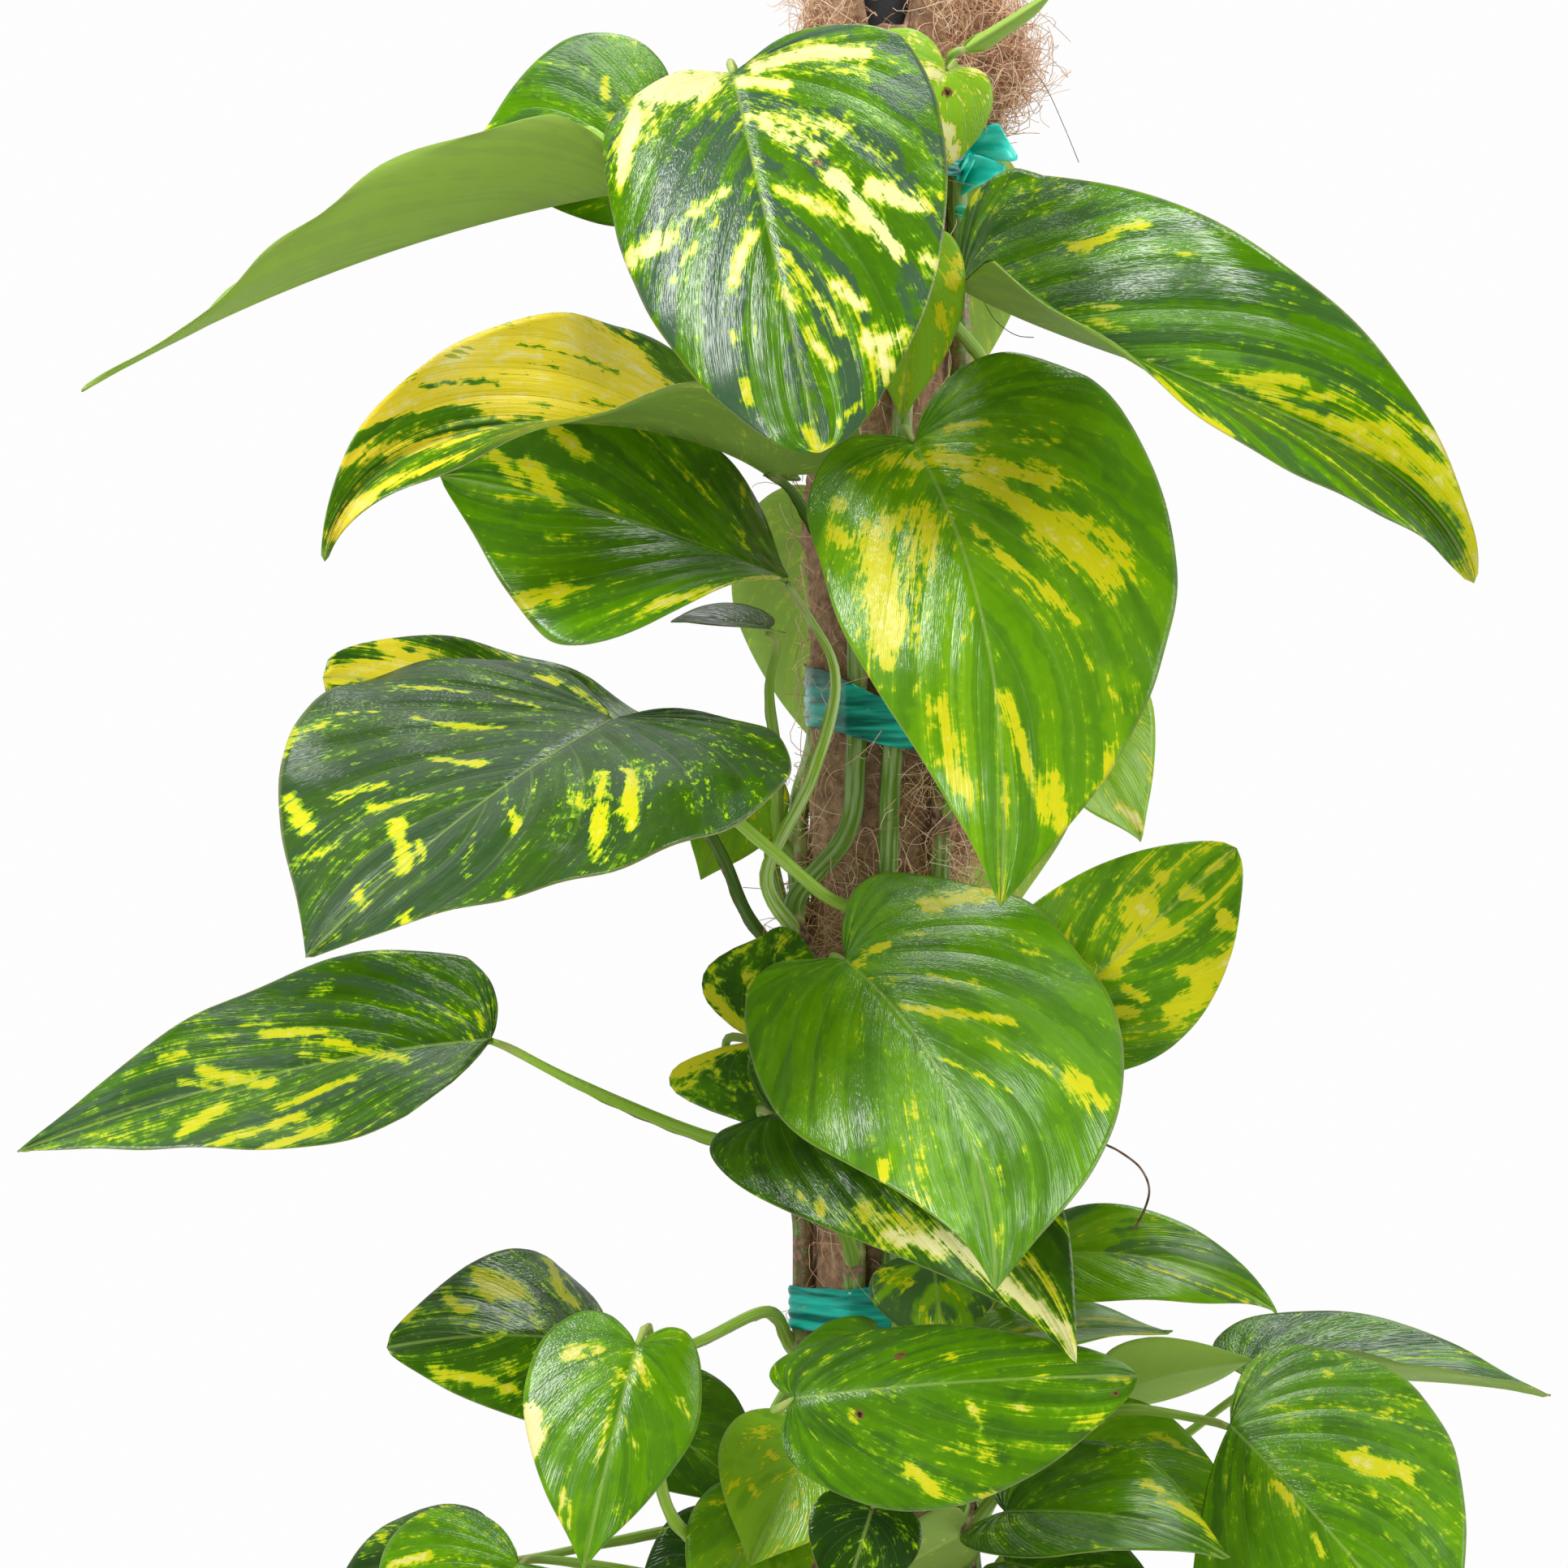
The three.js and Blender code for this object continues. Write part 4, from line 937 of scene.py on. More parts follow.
class Growth:
    """Tubes gathered into one piece, each point with its place round and along, and how it is coloured."""

    def __init__(self):
        self.points, self.faces, self.marks = [], [], []
        self.count = 0

    def add(self, points, faces, marks):
        self.points.append(points)
        self.faces += [[corner + self.count for corner in face] for face in faces]
        self.marks.append(np.asarray(marks, dtype=float))
        self.count += len(points)

    def piece(self, name, material):
        made = new_piece(name, np.concatenate(self.points), self.faces, [material])
        marks = np.concatenate(self.marks)
        for column, label in enumerate(GROWTH_MARKS):
            made.data.attributes.new(label, "FLOAT", "POINT").data.foreach_set("value", marks[:, column])
        return made


def marks_for(steps, sides, length, green, stripe, cork, ring):
    """A tube's marks for each point. Each of the last four is one value, a value a ring, or one a point."""
    rows = np.zeros((steps, sides, len(GROWTH_MARKS)))
    rows[:, :, 0] = np.arange(sides) / sides
    rows[:, :, 1] = np.linspace(0, length, steps)[:, None]
    for column, value in enumerate((green, stripe, cork, ring), start=2):
        rows[:, :, column] = value[:, None] if np.ndim(value) == 1 else value
    flat = rows.reshape(-1, len(GROWTH_MARKS))
    return np.concatenate([flat, flat[:1], flat[-1:]])


stem_skin, tree, shader = new_material("stem_skin", Roughness=0.42, Specular_IOR_Level=0.35)
marks = {name: attribute(tree, name) for name in GROWTH_MARKS}
turns = combined(tree, "MULTIPLY", marks["around"], 2 * math.pi)
onward = combined(tree, "MULTIPLY", marks["along"], 14.0)
wrapped = put(
    tree,
    "ShaderNodeCombineXYZ",
    {0: combined(tree, "COSINE", turns), 1: combined(tree, "SINE", turns), 2: onward},
)
stripes = noise(tree, wrapped, 2.6, 3.0)
striped = combined(tree, "MULTIPLY", ranged(tree, stripes, 0.42, 0.6), marks["stripe"])
plain_green = mixed(tree, marks["green"], (0.04, 0.11, 0.010, 1), (0.33, 0.58, 0.022, 1))
pale_green = mixed(tree, marks["green"], (0.26, 0.38, 0.16, 1), (0.62, 0.76, 0.32, 1))
skin = mixed(tree, striped, plain_green, pale_green)
ringed = mixed(tree, marks["ring"], skin, (0.55, 0.52, 0.2, 1))
flaking = noise(tree, put(tree, "ShaderNodeTexCoord").outputs["Object"], 320.0, 4.0)
rust = mixed(tree, ranged(tree, flaking, 0.4, 0.65), (0.10, 0.045, 0.028, 1), (0.42, 0.25, 0.17, 1))
corky = ranged(tree, combined(tree, "ADD", marks["cork"], flaking), 0.78, 0.98)
tree.links.new(mixed(tree, corky, ringed, rust), shader.inputs["Base Color"])
relief = combined(tree, "ADD", stripes, combined(tree, "MULTIPLY", flaking, 1.4))
bumped(tree, shader, relief, 0.35, 0.0006)

STEM_SIDES = 24
STEM_STEPS = 200
PETIOLE_SIDES = 18
WINGS = (2, 16)
PETIOLE_STEPS = 40
RIBS = 9
RIB_DEPTH = 0.00022
NODE_SWELL = 0.0009
RING_RISE = 0.0006
WING_WIDTH = 0.0009
for place, (stem, plan) in enumerate(STEMS.items()):
    growth = Growth()
    points = [round_pole(angle, height / 1000, reach / 1000) for angle, height, reach in plan]
    nodes = [leaf[1] / 1000 for leaf in LEAVES.values() if leaf[0] == stem]
    route, length = evenly(points, STEM_STEPS)
    heights = route[:, 2]
    near_node = np.clip(sum(bell(heights - height, 0.006) for height in nodes), 0, 1)
    ring = np.clip(sum(bell(heights - height - 0.008, 0.0025) for height in nodes), 0, 1)
    old = np.clip((0.62 - heights) / 0.5, 0, 1) * 0.2
    patches = np.clip(waves(40 + place, (0.05, 0.16), 8)(route), 0, 1) * 0.42
    turns = 2 * np.pi * np.arange(STEM_SIDES) / STEM_SIDES
    ribbing = RIB_DEPTH * np.cos(RIBS * turns[None, :] + 5 * route[:, 2:])
    radii = STEM_RADIUS - 0.0003 + ribbing + (NODE_SWELL * near_node + RING_RISE * ring)[:, None]
    radii[-6:] *= np.linspace(1, 0.35, 6)[:, None]
    body, faces = tube(route, radii, STEM_SIDES)
    cork = near_node * 0.42 + old + patches
    growth.add(body, faces, marks_for(len(route), STEM_SIDES, length, 0.30, 0.85, cork, ring))
    for number, (name, leaf) in enumerate(LEAVES.items()):
        if leaf[0] != stem:
            continue
        form = {**FORM, **leaf[8]}
        heart, tip = seen(*leaf[2]), seen(*leaf[3])
        node = at_height(points, leaf[1] / 1000)
        length, up, ahead, _ = leaf_frame(heart, tip, leaf[4], form)
        under = -1 if form["over"] else 1
        end = heart - up * SEAT * under
        arrival = (ahead * 0.75 + up * 0.65 * under).normalized()
        via = [seen(*place) for place in form["via"]]
        outward = Vector((node.x, node.y, 0)).normalized()
        reach = ((via or [end])[0] - node).length
        start = node + outward * reach * 0.16 + Vector((0, 0, reach * 0.2))
        bend = end - arrival * min((end - (via or [node])[-1]).length / 4, LONGEST_BEND)
        route, length = evenly([node, start, *via, bend, end], PETIOLE_STEPS)
        way = np.linspace(0, 1, PETIOLE_STEPS + 1)
        radii = PETIOLE_RADIUS + (PETIOLE_TIP - PETIOLE_RADIUS) * way**3
        radii = radii * (1 + 0.35 * bell(way, 0.12) + 0.12 * bell(way - 0.93, 0.04))
        turns = 2 * np.pi * np.arange(PETIOLE_SIDES) / PETIOLE_SIDES
        groove = 1 - 0.2 * bell((turns + np.pi) % (2 * np.pi) - np.pi, 0.4)
        radii = radii[:, None] * groove[None, :]
        winged = np.clip(np.sin(np.pi * np.clip(way / 0.8, 0, 1)) * 1.6, 0, 1)
        radii[:, WINGS] += (WING_WIDTH * winged * (1 + 0.3 * np.sin(way * 60 + number)))[:, None]
        green, stripe, dry = STALKS.get(name, STALK)
        cork = np.zeros((PETIOLE_STEPS + 1, PETIOLE_SIDES))
        cork += (0.36 * bell(way, 0.07) + 0.12 * (np.sin(number * 7 + way * 9) > 0.93))[:, None]
        cork[:, WINGS] += (0.6 * dry * winged)[:, None]
        body, faces = tube(route, radii, PETIOLE_SIDES)
        pale = 0.5 * bell(way - 0.95, 0.04)
        growth.add(body, faces, marks_for(len(route), PETIOLE_SIDES, length, green, stripe, cork, pale))
    piece = growth.piece(f"growing_stem_{stem}", stem_skin)
    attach(piece, "root")
    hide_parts(f"stem_{stem}")

# Ties. Bands of thin teal-green stretch tape hold the stems to the pole. Each is pulled straight from stem
# to stem, with sharp folds along it, and the crown tie ends in a bow on the right.
TAPE = 0.0008
TAPE_SLACK = 0.0009
OUTLINE_RAYS = 720
TIE_POINTS = 180
TIE_PLEATS = 0.0012
TIES = {
    # height, width, slant, and how fast it widens towards the left
    "crown": (0.966, 0.016, 0, 0),
    "upper": (0.707, 0.0215, -19, 9),
    "middle": (0.541, 0.020, 4, 0),
    "lower": (0.437, 0.020, 6, 0),
}


def outline_round(height, off):
    """The convex outline round the coir and every stem at a height, a distance off them, as even points."""
    circles = [(Vector((0, 0)), COIR_RADIUS + 0.0005)]
    for plan in STEMS.values():
        centre = at_height([round_pole(a, h / 1000, r / 1000) for a, h, r in plan], height)
        if abs(centre.z - height) < 0.001:
            circles.append((centre.to_2d(), STEM_RADIUS))
    outline = []
    for i in range(OUTLINE_RAYS):
        turn = 2 * math.pi * i / OUTLINE_RAYS
        ray = Vector((math.cos(turn), math.sin(turn)))
        outline.append(max(c.dot(ray) + r + off for c, r in circles))
    turns = 2 * np.pi * np.arange(OUTLINE_RAYS) / OUTLINE_RAYS
    support = np.array(outline)
    slope = (np.roll(support, -1) - np.roll(support, 1)) / (4 * np.pi / OUTLINE_RAYS)
    x = support * np.cos(turns) - slope * np.sin(turns)
    y = support * np.sin(turns) + slope * np.cos(turns)
    gone = np.concatenate([[0], np.cumsum(np.hypot(np.diff(x, append=x[0]), np.diff(y, append=y[0])))])
    wanted = np.linspace(0, gone[-1], TIE_POINTS + 1)[:-1]
    return np.interp(wanted, gone, [*x, x[0]]), np.interp(wanted, gone, [*y, y[0]])


def film(name, stretch, dark_to_light, dark, light, strength, distance, **settings):
    """Makes a plastic film, drawn out along its length, which thins it to lighter streaks."""
    material, tree, shader = new_material(name, **settings)
    object_at = put(tree, "ShaderNodeTexCoord").outputs["Object"]
    drawn_out = put(tree, "ShaderNodeVectorMath", {0: object_at, 1: stretch}, operation="MULTIPLY")
    grain = noise(tree, drawn_out, 1.0)
    streaked = mixed(tree, ranged(tree, grain, *dark_to_light), (*dark, 1), (*light, 1))
    tree.links.new(streaked, shader.inputs["Base Color"])
    bumped(tree, shader, grain, strength, distance)
    return material


tape_film = film(
    "tape_film", (22, 22, 260), (0.38, 0.64), (0.0, 0.15, 0.115), (0.02, 0.62, 0.50), 0.6, 0.0008,
    Roughness=0.25, Specular_IOR_Level=0.6, Transmission_Weight=0.1, IOR=1.4,
)
ROWS = 12
FOLDS = 3.4
for name, (height, width, slant, widens) in TIES.items():
    x, y = outline_round(height, TAPE_SLACK + TAPE * 0.6)
    count = len(x)
    out = np.stack([x, y], axis=1)
    out /= np.linalg.norm(out, axis=1)[:, None]
    folds = waves(len(name) + int(height * 100), (0.02, 0.07), 12)
    rows = []
    for row in range(ROWS + 1):
        share = row / ROWS - 0.5
        lift = height + share * width * (1 - widens * x) + math.tan(math.radians(slant)) * x
        around = np.stack([x, y, np.full(count, share * width)], axis=1)
        pleat = np.abs((share * FOLDS + 0.35 * folds(around)) % 1 - 0.5) * 2
        crease = TIE_PLEATS * pleat - 0.0005
        rows.append(np.stack([x + out[:, 0] * crease, y + out[:, 1] * crease, lift], axis=1))
    rows = np.array(rows)
    rows[:, :, 2] += 0.0008 * folds(np.stack([x, y, x * 0], axis=1))[None, :]
    inner = rows - np.concatenate([out, np.zeros((count, 1))], axis=1)[None] * TAPE * 0.35
    points = np.concatenate([rows.reshape(-1, 3), inner.reshape(-1, 3)])
    under = (ROWS + 1) * count
    faces = []
    for j in range(count):
        k = (j + 1) % count
        for row in range(ROWS):
            a, b, c, d = row * count + j, row * count + k, (row + 1) * count + k, (row + 1) * count + j
            faces += [[a, b, c, d], [under + d, under + c, under + b, under + a]]
        top = ROWS * count
        faces += [[under + j, under + k, k, j], [top + j, top + k, under + top + k, under + top + j]]
    band = new_piece(f"tape_{name}", points, faces, [tape_film])
    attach(band, "root")
    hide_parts(f"tie_{name}")

BOW = [
    # each ribbon as lines across it: its upper end across and in height, its lower end so, and their depth
    [(41, 975, 42, 972, -14), (46, 980, 47, 971, -17), (50, 985, 52, 969, -19), (55, 986, 59, 968.5, -20),
     (59, 980, 62, 968.5, -19), (64.5, 971, 64, 969, -16)],
    [(34, 965.5, 32, 952.5, -13), (38.5, 969.5, 37.5, 952, -17), (43, 971.5, 45, 956.5, -20),
     (51.5, 969.5, 51.5, 959, -20), (59, 966.5, 58, 962, -17)],
    [(33, 947.5, 33.5, 944.5, -16), (39, 947.5, 39, 941.5, -20), (44, 944.5, 44, 938, -21),
     (47, 941, 46, 937, -20)],
    [(41, 975, 45, 974, -13), (39, 969, 44, 968, -21), (36, 962, 40, 960, -21), (33, 956, 38, 954, -13)],
]
BOW_STEPS = 26
BOW_ROWS = 8
BOW_PLEATS = 0.0011
RIBBON_THICKNESS = 0.0003
# The bow is the same tape as the bands, but its film is painted lighter to make up for the shade that leaf 01
# casts on it.
ribbon_film = film(
    "ribbon_film", (40, 40, 140), (0.38, 0.6), (0.005, 0.66, 0.54), (0.10, 0.98, 0.84), 0.3, 0.0006,
    Roughness=0.22, Specular_IOR_Level=0.5,
)
bow_points = []
bow_faces = []
for ribbon in BOW:
    tops = [seen(a, h, depth) for a, h, _, _, depth in ribbon]
    feet = [seen(a, h, depth) for _, _, a, h, depth in ribbon]
    first = len(bow_points)
    for i in range(BOW_STEPS + 1):
        way = i / BOW_STEPS
        upper, lower = through(tops, way), through(feet, way)
        for j in range(BOW_ROWS + 1):
            share = j / BOW_ROWS
            pleat = BOW_PLEATS * math.cos(share * 9 + way * 4) * math.sin(math.pi * min(1, way + 0.1))
            place = upper.lerp(lower, share) + Vector((0, pleat, 0))
            bow_points += [place, place - Vector((0, RIBBON_THICKNESS, 0))]
    grid = np.arange(first, len(bow_points)).reshape(BOW_STEPS + 1, BOW_ROWS + 1, 2)
    for i in range(BOW_STEPS):
        for j in range(BOW_ROWS):
            for face in (0, 1):
                here, ahead = grid[i, :, face], grid[i + 1, :, face]
                quad = [here[j], here[j + 1], ahead[j + 1], ahead[j]]
                bow_faces.append(quad if face else quad[::-1])
        for j in (0, BOW_ROWS):
            quad = [grid[i, j, 0], grid[i + 1, j, 0], grid[i + 1, j, 1], grid[i, j, 1]]
            bow_faces.append(quad if j else quad[::-1])
    for i in (0, BOW_STEPS):
        for j in range(BOW_ROWS):
            quad = [grid[i, j, 0], grid[i, j + 1, 0], grid[i, j + 1, 1], grid[i, j, 1]]
            bow_faces.append(quad[::-1] if i else quad)
bow = new_piece("tape_bow", bow_points, bow_faces, [ribbon_film])
with opened(bow.data) as shape:
    bmesh.ops.recalc_face_normals(shape, faces=shape.faces)
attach(bow, "root")
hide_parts("tie_crown")

# Leaves. Heart-shaped waxy blades, sunk along the midrib and the side veins that curve from it to the edge.
# They are green with yellow and cream in streaks that follow the side veins, and paler underneath.
OUTLINE = [(0, 0), (-0.06, 0.12), (-0.12, 0.36), (-0.11, 0.64), (0, 0.9), (0.16, 1), (0.34, 0.97),
           (0.52, 0.8), (0.7, 0.54), (0.87, 0.22), (1, 0)]
ORIGIN = [0, 0, 0, 0, 0.01, 0.07, 0.16, 0.3, 0.46, 0.68, 1]
WIDEST = 0.2
VEIN_BOW = 0.32
VEIN_SWEEP = 2
SIDE_VEINS = 11
HALF_THICKNESS = 0.00035
EDGE_THINNING = 0.00015
SWELL = 0.0012
FLUTTER = 0.0010
MIDRIB_SINK = 0.0012
KEEL = 0.0009
FURROW = 0.0009
UNDER_RIB = 0.0007
UNDER_FURROW = 0.0005
CRINKLE = 0.00005
STREAK_SPREAD = 1.35
STREAK_LEAST = 1.6
STREAK_GOLD = 0.54
# Each leaf's lightness of green was fitted to how light that leaf looks, so it partly holds painted light: 21
# is made lighter for its sheen, and 37, seen from below in shade, is made lighter to make up for the shade.
LOOKS = {
    # name: how light its green is, how much gold it has, how white the gold is, how deep its ribs are, and
    # its scars as places along and across in mm and a radius
    "01": (0.40, 0.27, 0.15, 0.7, [(57, 27, 2.6)]),
    "02": (1.15, 0.20, 0.0, 0.5, []),
    "03": (0.51, 0.27, 0.0, 0.7, []),
    "04": (0.48, 0.27, 0.1, 1.4, []),
    "05": (1.11, 0.40, 0.4, 0.5, [(8.5, 5.8, 2.6), (7.6, -27, 1.6)]),
    "06": (1.0, 0.25, 0.0, 0.2, []),
    "07": (1.08, 0.27, 0.0, 0.8, []),
    "08": (0.37, 0.30, 0.1, 1.0, []),
    "09": (0.52, 0.26, 0.1, 0.9, []),
    "10": (0.69, 0.27, 0.0, 0.8, []),
    "11": (0.15, 0.26, 0.1, 1.5, []),
    "12": (0.28, 0.33, 0.0, 0.6, []),
    "13": (0.26, 0.27, 0.0, 0.6, []),
    "14": (0.27, 0.30, 0.1, 0.9, []),
    "15": (0.61, 0.24, 0.0, 0.7, []),
    "16": (0.33, 0.24, 0.2, 0.7, []),
    "17": (0.36, 0.33, 0.0, 0.8, []),
    "18": (0.85, 0.30, 0.2, 0.6, []),
    "19": (0.70, 0.35, 0.0, 0.8, []),
    "20": (1.04, 0.34, 0.1, 0.8, []),
    "21": (0.72, 0.25, 0.1, 0.6, []),
    "22": (0.74, 0.27, 0.0, 0.7, []),
    "23": (0.46, 0.26, 0.1, 0.7, [(46, 17.7, 3), (28.8, -10.7, 2.6), (140.6, -7.1, 1.6)]),
    "24": (0.62, 0.21, 0.3, 0.6, []),
    "25": (0.32, 0.32, 0.1, 0.9, []),
    "26": (0.44, 0.25, 0.0, 0.8, []),
    "27": (0.98, 0.35, 0.1, 0.6, []),
    "28": (0.56, 0.30, 0.1, 0.7, []),
    "29": (0.15, 0.31, 0.0, 0.8, []),
    "30": (0.78, 0.33, 0.1, 0.6, []),
    "31": (0.12, 0.21, 0.0, 0.7, []),
    "32": (0.09, 0.29, 0.1, 0.7, []),
    "33": (0.50, 0.29, 0.1, 0.9, []),
    "34": (0.76, 0.29, 0.1, 0.9, []),
    "35": (0.53, 0.29, 0.1, 1.0, [(75, 42, 1.4)]),
    "36": (0.46, 0.25, 0.2, 0.7, []),
    "37": (1.15, 0.12, 0.0, 0.6, []),
    "38": (0.55, 0.17, 0.4, 0.5, []),
    "39": (1.04, 0.36, 0.0, 0.6, []),
    "40": (0.40, 0.27, 0.1, 0.7, []),
    "41": (0.11, 0.23, 0.1, 0.6, []),
    "42": (0.75, 0.33, 0.2, 0.8, []),
    "43": (0.61, 0.36, 0.2, 0.8, []),
    "44": (0.92, 0.34, 0.2, 0.8, []),
    "45": (0.50, 0.35, 0.1, 0.8, []),
    "46": (0.40, 0.31, 0.1, 0.8, []),
    "47": (0.55, 0.35, 0.2, 0.7, []),
}
WARM = {"08": 1, "12": 0.7, "02": 0.3, "05": 0.3, "37": 0.4}
# Bluish grey-green laid in sectors, per leaf: partly the leaves' own grey-green tissue and partly painted
# sheen, a bluish reflection painted on the leaves that catch it.
GREY_SECTORS_AND_SHEEN = {"01": 1, "02": 0.3, "03": 0.4, "04": 0.4, "11": 0.3, "14": 0.5, "18": 0.8, "21": 0.6, "36": 0.6}
